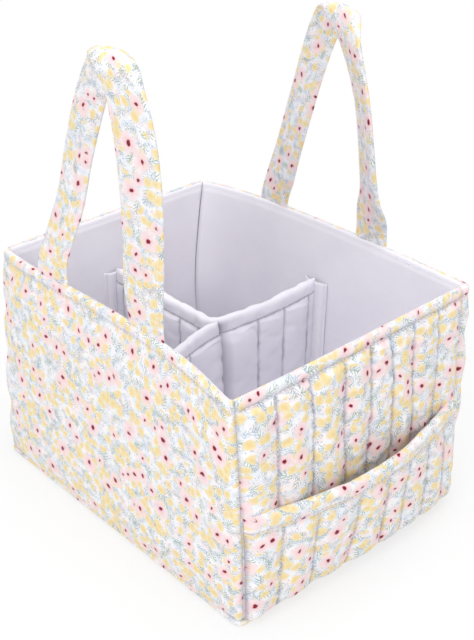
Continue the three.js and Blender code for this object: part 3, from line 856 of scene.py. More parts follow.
def hanging(wrap):
    """The lining hangs slack in the far corner, which draws its seam inwards below the rim."""

    def bent(u, v, w):
        x, y, z = np.moveaxis(wrap(u, v, w), -1, 0)
        upward = np.clip(z / height, 0, 1)
        corner = np.exp(-np.hypot(x + inner_x, y - inner_y + 6 * MM) / (26 * MM))
        slack = corner_slack * corner * np.sin(math.pi * upward**0.85) ** 0.9
        return np.stack([x + 0.15 * slack, y - slack, z], -1)

    return bent


def lining_rise(half, seed):
    def rise(u, v):
        waves = 0.5 * MM + 0.5 * MM * ripple(u, v * 0.5, 90 * MM, seed)
        edge = smooth((half - np.abs(u)) / (6 * MM))
        below = waves * edge * smooth((lining_stitch - v) / (14 * MM))
        band = 0.15 * MM * ripple(u, v, 14 * MM, seed + 9) * rim_band(v, lining_stitch, lining_line.length)
        flatter = 1 - 0.8 * smooth((v - lining_stitch) / (6 * MM))
        seam = -0.8 * MM * hump(half - np.abs(u), 2.2 * MM) * flatter
        return np.where(v < lining_stitch, below, band) + seam

    return rise


linings, lining_wraps = [], []
for number, side in enumerate(walls):
    kind = "side" if side in ("left", "right") else "end"
    half = corner_reach(side, -wall, *lining_corner.values())[1]
    cloth = flat_sheet(f"lining_{side}", 2 * half, lining_line.length, 3 * MM,
                       (0.4 * number, 0), rows=[lining_stitch])
    u, v, _ = points_of(cloth).T
    set_points(cloth, np.stack([u, v, lining_rise(half, 20 + number)(u, v)], -1))
    # painted shade at the rim's stitches and down the sewn corners
    shade_seams(cloth, np.maximum(0.2 * hump(v - lining_stitch, 0.9 * MM),
                                  (v < lining_stitch) * 0.45 * hump(half - np.abs(u), 1.2 * MM)))
    lining_wraps.append((hanging(wall_wrap(side, lining_line, half=half, facing=-1, **lining_corner)), half))
    lay(cloth, lining_wraps[-1][0], 0.8 * MM)
    finish_piece(cloth, "caddy", [f"lining_{kind}_{side}"], lining_cotton)
    2 * half
    linings.append(cloth)
print("linings", len(linings))

# %% [markdown]
# ## The base and the floor
#
# Two flat sheets close the box below: printed cloth outside and the plain lining inside. A board
# between them keeps the floor flat. A folded strip of the print covers the seam round the foot, and
# shows as a narrow band under the walls.


# %% Base cloth
corner_radius = 10 * MM


def flat_place(half_x, half_y, level, dip=0.0):
    """A level sheet with rounded corners, between two half sizes, its cloth facing up."""

    def wrap(u, v, w):
        y = v - half_y
        corner = np.maximum(np.abs(u) - (half_x - corner_radius), 0) * np.maximum(
            np.abs(y) - (half_y - corner_radius), 0) / corner_radius
        x = u - np.sign(u) * corner * 0.3
        y = y - np.sign(y) * corner * 0.3
        return stand(np.stack([x, y, level + w + dip * ripple(u, v, 70 * MM, 31)], -1))

    return wrap


base_x, base_y = half_length - 2.6 * MM, half_width - 2.6 * MM
base = flat_sheet("base_cloth", 2 * base_x, 2 * base_y, 6 * MM, (0.1, 0.4))
lay(base, flat_place(base_x, base_y, 1.2 * MM), 1.1 * MM)
finish_piece(base, "caddy", ["base_panel"], print_cotton)
print("base cloth", len(base.data.polygons), "faces")

# %% The folded strip round the foot
foot_x, foot_y, foot_corner = half_length + 0.2 * MM, half_width + 0.2 * MM, 5 * MM
foot_route = Profile(
    [(0, -foot_y)]
    + arc((foot_x - foot_corner, foot_corner - foot_y), foot_corner, -90, 0)
    + arc((foot_x - foot_corner, foot_y - foot_corner), foot_corner, 0, 90)
    + arc((foot_corner - foot_x, foot_y - foot_corner), foot_corner, 90, 180)
    + arc((foot_corner - foot_x, foot_corner - foot_y), foot_corner, 180, 270)
    + [(0, -foot_y)]
)
foot_line = Profile([(-9 * MM, 0.6 * MM)] + arc((-0.6 * MM, 2.3 * MM), 1.9 * MM, -90, 0, 6)
                    + arc((-0.6 * MM, 4.4 * MM), 1.9 * MM, 0, 100, 8))
foot_band = flat_sheet("base_edge", foot_route.length, foot_line.length, 3 * MM, (0.6, 0.2))
u, v, _ = points_of(foot_band).T
place, aside = foot_route.at(u + foot_route.length / 2), foot_route.facing(u + foot_route.length / 2)
outward = foot_line.at(v)[:, :1] + 0.4 * MM * ripple(u, v, 30 * MM, 15)[:, None]
set_points(foot_band, np.concatenate([place + aside * outward, foot_line.at(v)[:, 1:]], 1))
# painted shade along the strip's upper edge, where it tucks in under the walls
shade_seams(foot_band, 0.8 * hump(foot_line.length - v, 2 * MM))
only(foot_band)
closing = foot_band.modifiers.new("closing", "WELD")
closing.merge_threshold = 0.05 * MM
lay(foot_band, lambda u, v, w: np.stack([u, v, w], -1), 0.6 * MM)
finish_piece(foot_band, "caddy", [], print_cotton)
print("foot strip", round(foot_route.length, 3), "m long")

# %% Floor lining
floor_x, floor_y = half_length - wall - 0.4 * MM, half_width - wall - 0.4 * MM
floor_cloth = flat_sheet("lining_floor_cloth", 2 * floor_x, 2 * floor_y, 5 * MM, (0.9, 0.4))
lay(floor_cloth, flat_place(floor_x, floor_y, floor_top - 0.3 * MM, 0.25 * MM), 0.8 * MM)
finish_piece(floor_cloth, "caddy", ["lining_floor"], lining_cotton)
print("floor lining", [round(2 * floor_x, 3), round(2 * floor_y, 3)], "m")

# %% [markdown]
# ## The pockets
#
# A quilted pocket is sewn to each end along its sides and foot. It is cut wider than the end, so its
# mouth gapes and its foot swells. Its channels were sewn apart from those of the end, so they don't
# line up. A folded strip of the same print is stitched over the mouth.

# %% Quilted pockets
pocket_half = end_half - 0.3 * MM
pocket_back = pocket_low.x
pocket_foot = 5.2 * MM
pocket_top = pocket_high.z
pocket_seams = np.array([-82, -54, -20, 9, 31, 56, 80]) * MM - end_middle
hem_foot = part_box("pocket_hem_front")[0].z
mouth_bow = 20 * MM


def bow(y, z):
    """How far the pocket stands off the end of the box."""
    share = np.cos(math.pi / 2 * np.clip(y / pocket_half, -1, 1))
    share = np.maximum(share, 0)
    foot = (8 * MM + 0.08 * y) * share**0.45 * (1 - np.exp(-(z - pocket_foot) / (4 * MM)))
    mouth = mouth_bow * (share**1.25 + 0.4 * share * (1 - share) ** 2)
    upward = np.clip((z - pocket_foot) / (pocket_top - pocket_foot), 0, 1)
    return foot + (mouth - foot) * upward**1.3


def pocket_wrap(side, line):
    """A sheet on the bowed pocket: u across, v up its line, w off its face."""

    def wrap(u, v, w):
        place, face = line.at(v), line.facing(v)
        offset, z = place[..., 0] + w * face[..., 0], place[..., 1] + w * face[..., 1]
        z = z + 1.1 * MM * ripple(u, 0 * u, 34 * MM, 77) * np.clip(z / pocket_top, 0, 1) ** 3
        sewn = smooth((pocket_half - np.abs(u)) / (3 * MM))
        away = (pocket_back - half_length) * sewn + bow(u, np.clip(z, pocket_foot, pocket_top))
        middle = end_middle if side == "front" else -end_middle
        return stand(turned(u + middle, half_length - 0.8 * MM + away + offset * (0.3 + 0.7 * sewn), z, side))

    return wrap


pocket_cloth = 3 * MM
pocket_line = Profile([(pocket_cloth, pocket_foot), (pocket_cloth, pocket_top - 1 * MM)])
hem_line = Profile(
    [(pocket_cloth + 1.1 * MM, hem_foot), (pocket_cloth + 1.1 * MM, pocket_top - 2.2 * MM)]
    + arc((pocket_cloth / 2, pocket_top - 1.6 * MM), pocket_cloth / 2 + 1.2 * MM, 0, 180)
    + [(-1.2 * MM, hem_foot + 2 * MM)]
)
hem_stitch = 2.4 * MM  # from the hem's lower edge up to its row of stitches


def pocket_rise(u, v):
    z = v + pocket_foot
    quilt = 3.4 * MM * channels(u, pocket_seams, pocket_half, 8, 0.6)
    quilt = quilt + 0.6 * MM * puckers(u, v, pocket_seams, 9 * MM, 10)
    quilt = np.where(quilt < sewn_rise, 0, quilt)
    foot = smooth(v / (7 * MM))
    hem = smooth((hem_foot - z) / (7 * MM))
    return quilt * foot * hem


def hem_rise(u, v):
    edge = smooth(v / (1.2 * MM)) * smooth((hem_line.length - v) / (1.5 * MM))
    stitch = 1 - 0.85 * hump(v - hem_stitch, 1.5 * MM)
    return (0.9 * MM + 0.5 * MM * ripple(u, v, 20 * MM, 41)) * edge * stitch


pocket_pieces = {}
for number, side in enumerate(("front", "back")):
    pocket = flat_sheet(f"pocket_{side}_quilt", 2 * pocket_half, pocket_line.length, quilt_step,
                        (0.15 + 0.4 * number, 1.3), pocket_seams)
    puff(pocket, pocket_rise, slack=0.03, pressure=16)
    u, v, _ = points_of(pocket).T
    edge = pocket_half - np.abs(u)
    # painted shade along the quilting seams and at the sewn edges
    shade_seams(pocket, np.maximum(seam_shade(u, v, pocket_seams, 12), hump(edge, 1.6 * MM)))
    lay(pocket, swaying(pocket_wrap(side, pocket_line), pocket_half, *pocket_sway), pocket_cloth)
    finish_piece(pocket, "caddy", [f"pocket_{side}"], print_cotton)
    hem = flat_sheet(f"pocket_{side}_hem", 2 * pocket_half, hem_line.length, 1.8 * MM,
                     (0.8 + 0.3 * number, 1.7), rows=[hem_stitch])
    raised = points_of(hem)
    raised[:, 2] = hem_rise(raised[:, 0], raised[:, 1])
    set_points(hem, raised)
    # painted shade at the hem's row of stitches
    shade_seams(hem, 0.6 * hump(raised[:, 1] - hem_stitch, 1.1 * MM))
    lay(hem, pocket_wrap(side, hem_line), 0.7 * MM)
    finish_piece(hem, "caddy", [f"pocket_hem_{side}"], print_cotton)
    2 * pocket_half
    pocket_pieces[side] = pocket, hem
    print(pocket.name, len(pocket.data.polygons), "faces;", hem.name, len(hem.data.polygons), "faces")

# %% [markdown]
# ## The divider
#
# The divider is a letter T seen from above. One panel comes from the back wall and bends round to
# the right wall, and a shorter one from the left wall butts against the bend. Each panel is one
# cloth folded over the top, quilted in upright channels below a puffy band.

# %% The divider's lines and seams
divider_foot, divider_top = long_low.z, long_high.z
band_height = 13 * MM
half_thick = 3 * MM
stem_y = long_low.y + 4.5 * MM
cross_x = (branch_low.x + branch_high.x) / 2
bend = 13 * MM
fold_roll, shoulder = 2.2 * MM, divider_top - 16 * MM
fold_line = Profile(
    [(half_thick, divider_foot), (half_thick, shoulder)]
    + arc((0, divider_top - fold_roll - 1.2 * MM), fold_roll, 0, 180, 14)
    + [(-half_thick, shoulder), (-half_thick, divider_foot)]
)
long_route = Profile(
    [(long_low.x, stem_y)]
    + arc((cross_x - bend, stem_y + bend), bend, -90, 0, 16)
    + [(cross_x, long_high.y)]
)
branch_route = Profile([(cross_x, branch_low.y), (cross_x, branch_high.y)])
junction = np.array([cross_x, stem_y - 4 * MM])
from_joint = long_route.points - (cross_x - 2 * MM, stem_y + 5 * MM)
long_joint = long_route.marks[np.argmin(np.hypot(*from_joint.T))]
seam_side = divider_top - divider_foot - band_height
strip = {"long": (12 * MM, 10 * MM), "branch": (12 * MM, 0)}  # the flat strips at a panel's two ends


seam_pitch, first_seam = 26 * MM, 12 * MM


def even_seams(last):
    """Seams about a pitch apart, from a panel's first seam to its last."""
    return list(np.linspace(first_seam, last, max(2, round((last - first_seam) / seam_pitch) + 1)))


near_wall = [long_route.length - away * MM for away in (64, 37, 10)]
panel_seams = {
    "long": np.array(even_seams(long_joint - 16 * MM) + near_wall) - long_route.length / 2,
    "branch": np.array(even_seams(branch_route.length - 29 * MM)) - branch_route.length / 2,
}
print("divider seams:", {name: len(seams) for name, seams in panel_seams.items()})


# %% How the divider's cloth swells


def panel_rise(name, length, seed):
    """Channels below the band on both faces, flat strips at the ends, and a puffy fold."""
    seams = panel_seams[name]

    def rise(u, v):
        down = np.minimum(v, fold_line.length - v)
        quilt = 2.8 * MM * channels(u, seams, length / 2, seed)
        quilt = quilt + 0.4 * MM * puckers(u, v, seams, 11 * MM, seed)
        quilt = np.where(quilt < sewn_rise, 0, quilt)
        in_strip = (u < strip[name][0] - length / 2) | (u > length / 2 - strip[name][1])
        quilt = np.where(in_strip, 0.3 * quilt, quilt)
        quilt = quilt * smooth((seam_side - 0.8 * MM - down) / (4 * MM)) * smooth(down / (4 * MM))
        share = np.clip((down - seam_side) / (fold_line.length / 2 - seam_side), 0, 1)
        folds = 0.4 * MM * ripple(u, v, 18 * MM, seed) + 0.9 * MM * ripple(u, 0.15 * v, 8 * MM, seed + 1)
        band = (0.7 * MM + folds) * np.sin(math.pi * (0.1 + 0.74 * share)) ** 0.6
        band = band * smooth((down - seam_side) / (1.4 * MM))
        band = band * smooth((length / 2 - np.abs(u) - 1 * MM) / (6 * MM))
        return np.where(down < seam_side, quilt, band)

    return rise


# %% How the divider stands
junction_lean, junction_reach = 3.2 * MM, 60 * MM
wall_clearance = 0.6 * MM  # between the lifted divider and the left wall's rim


def divider_stand(points):
    """The divider's middle leans a little, its top one way and its foot the other. Its left end stands
    upright, as far in as the left wall's rim, so that the divider lifts out past the wall."""
    x, y, z = np.moveaxis(np.asarray(points, float), -1, 0)
    not_yet_leant = 1 - np.clip(z / height, 0, 1) ** lean_curve
    clear = (lean_left + wall_clearance) * not_yet_leant * smooth((-y - 25 * MM) / (60 * MM))
    away = np.hypot(x - junction[0], y - junction[1])
    lean = -junction_lean * (2 * z / divider_top - 1) * hump(away, junction_reach)
    return stand(np.stack([x + lean, y + lean + clear, z], -1))


sag_level, sag_middle, sag_joint = 2.4 * MM, 3.4 * MM, 2.6 * MM
sag_span, joint_reach = 105 * MM, 22 * MM
branch_sag, branch_bow = 4.5 * MM, 5 * MM
end_taper, butt_ease = 3 * MM, 18 * MM


def panel_wrap(route, reach_to_bend=False):
    """A sheet folded over a panel's top: u along its route, v over the fold, w off its face."""

    def wrap(u, v, w):
        place = u + route.length / 2
        near_end = np.maximum(hump(place, end_taper), hump(route.length - place, end_taper))
        line, face = fold_line.at(v), fold_line.facing(v)
        offset = line[..., 0] * (1 - 0.7 * near_end) + w * face[..., 0]
        z = line[..., 1] + w * face[..., 1]
        if reach_to_bend:
            radius = bend + half_thick + 1.3 * MM
            aside = np.clip(offset + bend, 0, radius - 0.3 * MM)
            gap = stem_y + bend - np.sqrt(radius**2 - aside**2) - (branch_high.y - 0.6 * MM)
            place = place + np.clip(gap, 0, 11 * MM) * smooth((place - route.length + butt_ease) / butt_ease)
        centre, aside = route.at(place), route.facing(place)
        over = np.maximum(place - route.length, 0)
        x = centre[..., 0] + aside[..., 0] * offset - aside[..., 1] * over
        y = centre[..., 1] + aside[..., 1] * offset + aside[..., 0] * over
        away = np.hypot(x - junction[0], y - junction[1])
        upward = (z - divider_foot) / (divider_top - divider_foot)
        sag = sag_level + sag_middle * np.sin(math.pi * np.clip(away / sag_span, 0, 1))
        z = z - upward**3 * (sag + sag_joint * hump(away, joint_reach))
        if reach_to_bend:  # the shorter panel's top sags further towards the wall
            share = np.clip((branch_high.y - y) / (branch_high.y - branch_low.y), 0, 1)
            z = z - upward**2 * branch_sag * smooth(share * 1.5)
            x = x + branch_bow * np.sin(math.pi * share) * upward
        return divider_stand(np.stack([x, y, z], -1))

    return wrap


# %% Panels of the divider
divider_panels = {}
for number, (name, route) in enumerate((("long", long_route), ("branch", branch_route))):
    seams = panel_seams[name]
    bands = [seam_side, fold_line.length - seam_side]
    panel = flat_sheet(f"divider_{name}_quilt", route.length, fold_line.length, 2.4 * MM,
                       (0.1, 0.5 * number), seams, bands)
    puff(panel, panel_rise(name, route.length, 50 + number), slack=0.02, pressure=10)
    u, v, _ = points_of(panel).T
    down = np.minimum(v, fold_line.length - v)
    # painted shade along the quilting seams, under the band's stitches and in the crease where the shorter
    # panel meets the bend
    shade = seam_shade(u, v, seams, 13) * (down < seam_side)
    shade = np.maximum(shade, 0.9 * hump(down - seam_side + 0.7 * MM, 1.1 * MM))
    joint = route.length / 2 if name == "branch" else long_joint - route.length / 2
    shade = np.maximum(shade, hump(u - joint, 4 * MM) * (down < fold_line.length / 2 - 3 * MM))
    shade_seams(panel, shade)
    lay(panel, panel_wrap(route, name == "branch"), 1 * MM)
    finish_piece(panel, "divider", [f"divider_{name}_panel"], pad_cotton)
    divider_panels[name] = panel
    print(panel.name, len(panel.data.polygons), "faces")

# %% [markdown]
# ## The divider's end flaps
#
# Each end of the divider carries a flap that lies flat on the wall, with the hook tape on its back.
# It is one small folded cloth, wider than the tape, so its edges bend down to the wall.

# %% End flaps
flap_width, flap_tall = 24 * MM, divider_top - divider_foot - 7 * MM
flap_seam = 2.2 * MM  # in from each upright edge
flap_edge_bend = 3 * MM
off_tape = 1.2 * MM


def flap(name, middle, along, facing):
    """An upright strip, from the middle of its face: along it and out of it."""
    seam_line = flap_width / 2 - flap_seam
    piece = flat_sheet(f"divider_flap_{name}", flap_width, flap_tall, 1.6 * MM,
                       (0.3, 0.7), [-seam_line, seam_line])
    u, v, _ = points_of(piece).T
    edge = np.minimum(flap_width / 2 - np.abs(u), np.minimum(v, flap_tall - v))
    rise = 0.6 * MM * smooth(edge / (1.4 * MM)) * (1 - 0.8 * hump(seam_line - np.abs(u), 1 * MM))
    down = flap_edge_bend * smooth((np.abs(u) - 6 * MM) / (6 * MM))
    set_points(piece, np.stack([u, v, rise - down + 0.2 * MM * ripple(u, v, 16 * MM, 90)], -1))
    # painted shade at the flap's seams
    shade_seams(piece, 0.25 * hump(seam_line - np.abs(u), 0.9 * MM))
    axes = np.array([along, (0, 0, 1), facing])
    lay(piece, lambda u, v, w: divider_stand(np.array(middle) + np.stack([u, v, w], -1) @ axes))
    finish_piece(piece, "divider", [], lining_cotton)


flap_places = {
    "right": ((cross_x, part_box("hook_tape_right")[0].y - off_tape, divider_foot), (-1, 0, 0), (0, -1, 0)),
    "left": ((cross_x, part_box("hook_tape_left")[1].y + off_tape, divider_foot), (1, 0, 0), (0, 1, 0)),
    "back": ((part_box("hook_tape_back")[1].x + off_tape, stem_y, divider_foot), (0, 1, 0), (1, 0, 0)),
}
print("flaps:", [round(flap_width, 3), round(flap_tall, 3)], "m")

# %% [markdown]
# ## Boards and tapes
#
# Thin boards inside the walls and the divider keep them upright, and hook-and-loop tapes hold the
# divider. Hardly any of this shows, but each piece follows the lean of the cloth that covers it.


# %% Hidden stiffeners and fastening tapes
notch_half, notch_foot = 27 * MM, 150 * MM  # the notch in a side board, for a strap tail


def slab(node, body, material, thin_axis, notches=(), step=8 * MM, shape=stand):
    """A thin board or tape in its CAD node's place, standing as the soft walls do."""
    low, high = (np.array(corner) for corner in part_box(node))
    across = 1 if thin_axis == 0 else 0
    up = 1 if thin_axis == 2 else 2
    size = high - low
    piece = flat_sheet(f"{node}_stiff" if "board" in node else f"{node}_strip", size[across], size[up], step)
    if notches:
        mesh = bmesh.new()
        mesh.from_mesh(piece.data)
        middle = (low[across] + high[across]) / 2
        cut = [f for f in mesh.faces for place in notches
               if abs(f.calc_center_median().x + middle - place) < notch_half
               and f.calc_center_median().y + low[up] > notch_foot]
        bmesh.ops.delete(mesh, geom=list(set(cut)), context="FACES")
        mesh.to_mesh(piece.data)
        mesh.free()
    u, v, _ = points_of(piece).T
    place = np.empty((len(u), 3))
    place[:, across] = u + (low[across] + high[across]) / 2
    place[:, up] = v + low[up]
    place[:, thin_axis] = (low[thin_axis] + high[thin_axis]) / 2
    set_points(piece, shape(place))
    only(piece)
    solid = piece.modifiers.new("thickness", "SOLIDIFY")
    solid.thickness, solid.offset = size[thin_axis], 0
    soft = piece.modifiers.new("edges", "BEVEL")
    soft.width, soft.segments, soft.limit_method = 0.3 * MM, 2, "ANGLE"
    apply_all(piece)
    only(piece)
    bpy.ops.object.mode_set(mode="EDIT")
    bpy.ops.mesh.select_all(action="SELECT")
    bpy.ops.mesh.normals_make_consistent(inside=False)
    bpy.ops.object.mode_set(mode="OBJECT")
    bpy.ops.object.shade_smooth_by_angle(angle=math.radians(40))
    finish_piece(piece, body, [node], material)


tails = [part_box(f"strap_tail_left_{number}") for number in (1, 2)]
tail_places = [(low.x + high.x) / 2 for low, high in tails]
for side in ("left", "right"):
    slab(f"side_board_{side}", "caddy", board_sheet, 1, tail_places)
for side in ("front", "back"):
    slab(f"end_board_{side}", "caddy", board_sheet, 0)
slab("base_board", "caddy", board_sheet, 2)
for place, axis in (("stem", 1), ("cross", 0), ("branch", 0)):
    slab(f"divider_{place}_board", "divider", board_sheet, axis, shape=divider_stand)
tape_step = 3 * MM
for place, axis in (("back", 0), ("left", 1), ("right", 1)):
    slab(f"loop_tape_{place}", "caddy", tape_cloth, axis, step=tape_step)
    slab(f"hook_tape_{place}", "divider", tape_cloth, axis, step=tape_step, shape=divider_stand)
    flap(place, *flap_places[place])
print("tails at", [round(place, 4) for place in tail_places])

# %% [markdown]
# ## The straps
#
# A strap is a flat tube of print over a wadding core, stitched along both edges and sewn into the rim
# at both ends. It stands up, leans forward and turns its width only a little through its arch: its width
# lies along the wall at the rim and turns less than forty degrees from there, and at the top the strap
# narrows where it folds over. The strap is swept along one smooth line with a width direction at each place.

# %% The line and the twist of a strap
tail_low, tail_high = tails[0]
tail_y, tail_foot = -(tail_low.y + tail_high.y) / 2, tail_low.z
strap_width = 2 * (tail_high.x - tail_places[0])
neck, body_thick, neck_length = 2.4 * MM, 5 * MM, 16 * MM
gather_reach, fold_reach, curl_reach = 22 * MM, 45 * MM, 40 * MM
fold_share = 0.14  # of the width, where the strap folds over at the top


def rounded_course(rows, steps=24):
    """A smooth course through a few places, each with its own numbers (Catmull-Rom)."""
    rows = np.array([2 * rows[0] - rows[1], *rows, 2 * rows[-1] - rows[-2]])
    t = np.linspace(0, 1, steps, endpoint=False)[:, None]
    parts = [0.5 * (2 * b + (c - a) * t + (2 * a - 5 * b + 4 * c - d) * t**2 + (3 * b - a - 3 * c + d) * t**3)
             for a, b, c, d in zip(rows, rows[1:], rows[2:], rows[3:])]
    return np.concatenate([*parts, rows[-2:-1]])


class Strap:
    """A strap's path, and the turn of its width about the upright, from one tail's foot to the other's."""

    def __init__(self, side, gather, shifts, places):
        out = -1 if side == "left" else 1
        feet, rims = [], []
        for tail, shift in zip(tail_places, shifts):
            feet.append([*stand([tail + 0.6 * shift, out * tail_y, tail_foot]) / MM, 0])
            rims.append([*stand([tail + shift, out * (half_width - rim_roll), height + 4 * MM]) / MM, 0])
        course = rounded_course(np.array([feet[0], rims[0], *places, rims[1], feet[1]], float))
        self.gather, self.curl = gather, (6 if side == "left" else 3) * MM
        self.points, self.turns = course[:, :3] * MM, np.radians(course[:, 3])
        self.marks = np.concatenate([[0], np.cumsum(np.linalg.norm(np.diff(self.points, axis=0), axis=1))])
        self.length = self.marks[-1]
        self.tail = np.linalg.norm(np.array(rims[0][:3]) - feet[0][:3]) * MM
        self.apex = self.marks[np.argmax(self.points[:, 2])]

    def centre(self, distance):
        return np.stack([np.interp(distance, self.marks, self.points[:, i]) for i in range(3)], -1)

    def frames(self, distance):
        step = 4 * MM
        low, high = np.maximum(distance - step, 0), np.minimum(distance + step, self.length)
        along = self.centre(high) - self.centre(low)
        along /= np.linalg.norm(along, axis=-1, keepdims=True)
        turn = np.interp(distance, self.marks, self.turns)
        across = np.stack([np.cos(turn), np.sin(turn), 0 * turn], -1)
        across -= 0.25 * along * (across * along).sum(-1, keepdims=True)  # so that it skews a little
        across /= np.linalg.norm(across, axis=-1, keepdims=True)
        through = np.cross(along, across)
        return self.centre(distance), across, through / np.linalg.norm(through, axis=-1, keepdims=True)

    def width(self, distance):
        """The strap's width, which is gathered where it is sewn in and where it folds over at the top."""
        near = np.minimum(distance, self.length - distance) - self.tail
        gathered = strap_width * (1 - self.gather * hump(near, gather_reach))
        return gathered * (1 - fold_share * hump(distance - self.apex, fold_reach))

    def drop(self, distance):
        """How far the strap's edges hang down where it folds over at the top."""
        return self.curl * hump(distance - self.apex, curl_reach)

    def grown(self, distance):
        """0 where the strap is sewn down and 1 where it is at its full thickness."""
        return smooth((np.minimum(distance, self.length - distance) - self.tail) / neck_length)


# %% Sweeping the strap
def strap_tube(name, strap, inset, start, end, step, print_at, crowned=True):
    """A flat closed tube along the strap, less an inset, between two distances."""
    length, girth = end - start, 2 * strap_width - 4 * inset
    tube = flat_sheet(name, girth, length, step, print_at)
    u, v, _ = points_of(tube).T
    distance = start + v
    centre, across, through = strap.frames(distance)
    half = strap.width(distance) / 2 - inset
    flat = half * (1 - 4 * np.abs(u) / girth)
    rounded = np.clip(1 - (np.abs(flat) / half) ** 8, 0, 1) ** 0.5
    thick = (neck + (body_thick - neck) * strap.grown(distance)) / 2 - inset
    if crowned:
        edge = half - np.abs(flat)
        groove = hump(edge - 4 * MM, 1.6 * MM) * (0.45 + 0.3 * ripple(distance, flat, 8 * MM, 61))
        thick = thick * (1 + 0.15 * ripple(distance, flat, 36 * MM, 62)) * (1 - groove)
        thick = np.maximum(thick, 0.9 * MM)
    face = np.where(u >= 0, 1, -1) * thick * rounded
    points = centre + across * flat[:, None] + through * face[:, None]
    points[:, 2] -= strap.drop(distance) * (flat / half) ** 2
    set_points(tube, points)
    only(tube)
    weld = tube.modifiers.new("seam", "WELD")
    weld.merge_threshold = 0.05 * MM
    apply_all(tube)
    bpy.ops.object.mode_set(mode="EDIT")
    bpy.ops.mesh.select_mode(type="EDGE")
    bpy.ops.mesh.select_all(action="DESELECT")
    bpy.ops.mesh.select_non_manifold()
    bpy.ops.mesh.edge_face_add()
    bpy.ops.mesh.select_all(action="SELECT")
    bpy.ops.mesh.normals_make_consistent(inside=False)
    bpy.ops.object.mode_set(mode="OBJECT")
    return tube


# each place: along the caddy, across it and up, in millimetres, and the turn in degrees
straps = {
    "left": Strap("left", 0, (-4 * MM, -3.5 * MM), [
        (-64.5, -98.5, 203, -8), (-57.5, -95.5, 223, -9), (-48, -93, 247, -9), (-38, -90.5, 283, -8),
        (-23, -90, 319, -8), (-5, -91, 350, -8), (13, -98, 360.5, 14), (27, -105, 359, 16),
        (36.5, -107, 348, 6), (43.5, -106.5, 318, 6), (46.5, -106, 284, 6), (43.5, -104, 246, 5),
        (39.5, -102.5, 211, 4)]),
    "right": Strap("right", 0.16, (1 * MM, -1 * MM), [
        (-57, 114, 202, -10), (-50, 117, 232, -16), (-31, 121, 302, -15), (-15, 118, 336, -10),
        (-3, 113, 347, -6), (8, 108, 347, 0), (20, 103, 329, -22), (34, 104, 287, -32),
        (41, 108, 225, -30), (42, 111.5, 202, -12)]),
}
edge_stitch, off_face = 4 * MM, 4 * MM
core_start, core_inset = 28 * MM, 1.2 * MM
for number, (side, strap) in enumerate(straps.items()):
    sleeve = strap_tube(f"strap_{side}", strap, 0, 0, strap.length, 2.4 * MM, (0.5 * number, 2.3))
    refine(sleeve)
    sleeve.data.materials.append(print_cotton)
    distance = np.arange(strap.tail + 3 * MM, strap.length - strap.tail - 3 * MM, path_step)
    centre, across, through = strap.frames(distance)
    centre[:, 2] -= 0.62 * strap.drop(distance)
    aside = across * (strap.width(distance) / 2 - edge_stitch)[:, None]
    rows = [stitch_row(sleeve, centre + edge * aside + face * off_face * through)
            for edge in (-1, 1) for face in (-1, 1)]
    strap_thread = sew(f"strap_{side}_stitches", rows)
    for piece in (strap_thread, sleeve):
        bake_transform(piece)
    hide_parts(f"handle_{side}_sleeve", f"strap_tail_{side}_1", f"strap_tail_{side}_2")
    start = strap.tail + core_start
    core = strap_tube(f"strap_{side}_core", strap, core_inset, start, strap.length - start,
                      5 * MM, (0, 0), False)
    bpy.ops.object.shade_smooth()
    finish_piece(core, f"handle_{side}", [f"handle_{side}_core"], wadding)
    print(sleeve.name, len(sleeve.data.polygons), "faces, length", round(strap.length, 3))

# %% [markdown]
# ## The rows of stitches
#
# Stitches show under the rims, along the pocket hems, in the quilting and along the divider's bands.
# They are sewn last, because each row has to find the finished cloth.

# %% Stitches in the walls, pockets and divider
rim_rows, lining_rows, quilt_rows, pad_rows = [], [], [], []
for side, (wrap, half) in shell_wraps.items():
    path = line_on(wrap, np.arange(-half, half, path_step), shell_stitch)
    rim_rows.append(stitch_row(shell_panels[side], path))
    if side in ("front", "back"):
        for seam in end_seams:
            up = np.arange(foot_seam + 6 * MM, shell_stitch - 2 * MM, path_step)
            low = line_on(lambda u, v, w: wrap(u, v, w + belly(u, v)), seam, up, 0)
            quilt_rows.append(stitch_row(shell_panels[side], low))
for cloth, (wrap, half) in zip(linings, lining_wraps):
    lining_rows.append(stitch_row(cloth, line_on(wrap, np.arange(-half, half, path_step), lining_stitch)))
for side, (pocket, hem) in pocket_pieces.items():
    wrap = swaying(pocket_wrap(side, pocket_line), pocket_half, *pocket_sway)
    across = np.arange(3 * MM - pocket_half, pocket_half - 3 * MM, path_step)
    rim_rows.append(stitch_row(hem, line_on(pocket_wrap(side, hem_line), across, hem_stitch)))
    up = np.arange(8 * MM, hem_foot - pocket_foot, path_step)
    for seam in pocket_seams:
        quilt_rows.append(stitch_row(pocket, line_on(wrap, seam, up, 0)))
for name, panel in divider_panels.items():
    route = long_route if name == "long" else branch_route
    wrap = panel_wrap(route, name == "branch")
    across = np.arange(3 * MM - route.length / 2, route.length / 2 - 3 * MM, path_step)
    for level in (seam_side, fold_line.length - seam_side):
        pad_rows.append(stitch_row(panel, line_on(wrap, across, level)))
for name, rows, slot, body in (
    ("rim_stitches", rim_rows, "printed_cotton", "caddy"),
    ("lining_stitches", lining_rows, "lining_cloth", "caddy"),
    ("quilting_stitches", quilt_rows, "quilted_cotton", "caddy"),
    ("divider_stitches", pad_rows, "quilted_lining", "divider"),
):
    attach(sew(name, rows), body)

# %% [markdown]
# ## Camera, light and floor
#
# The camera stands where the photograph was taken from, which was worked out from the corners of the
# box. The light is a white room: a bright world and large soft lamps above.

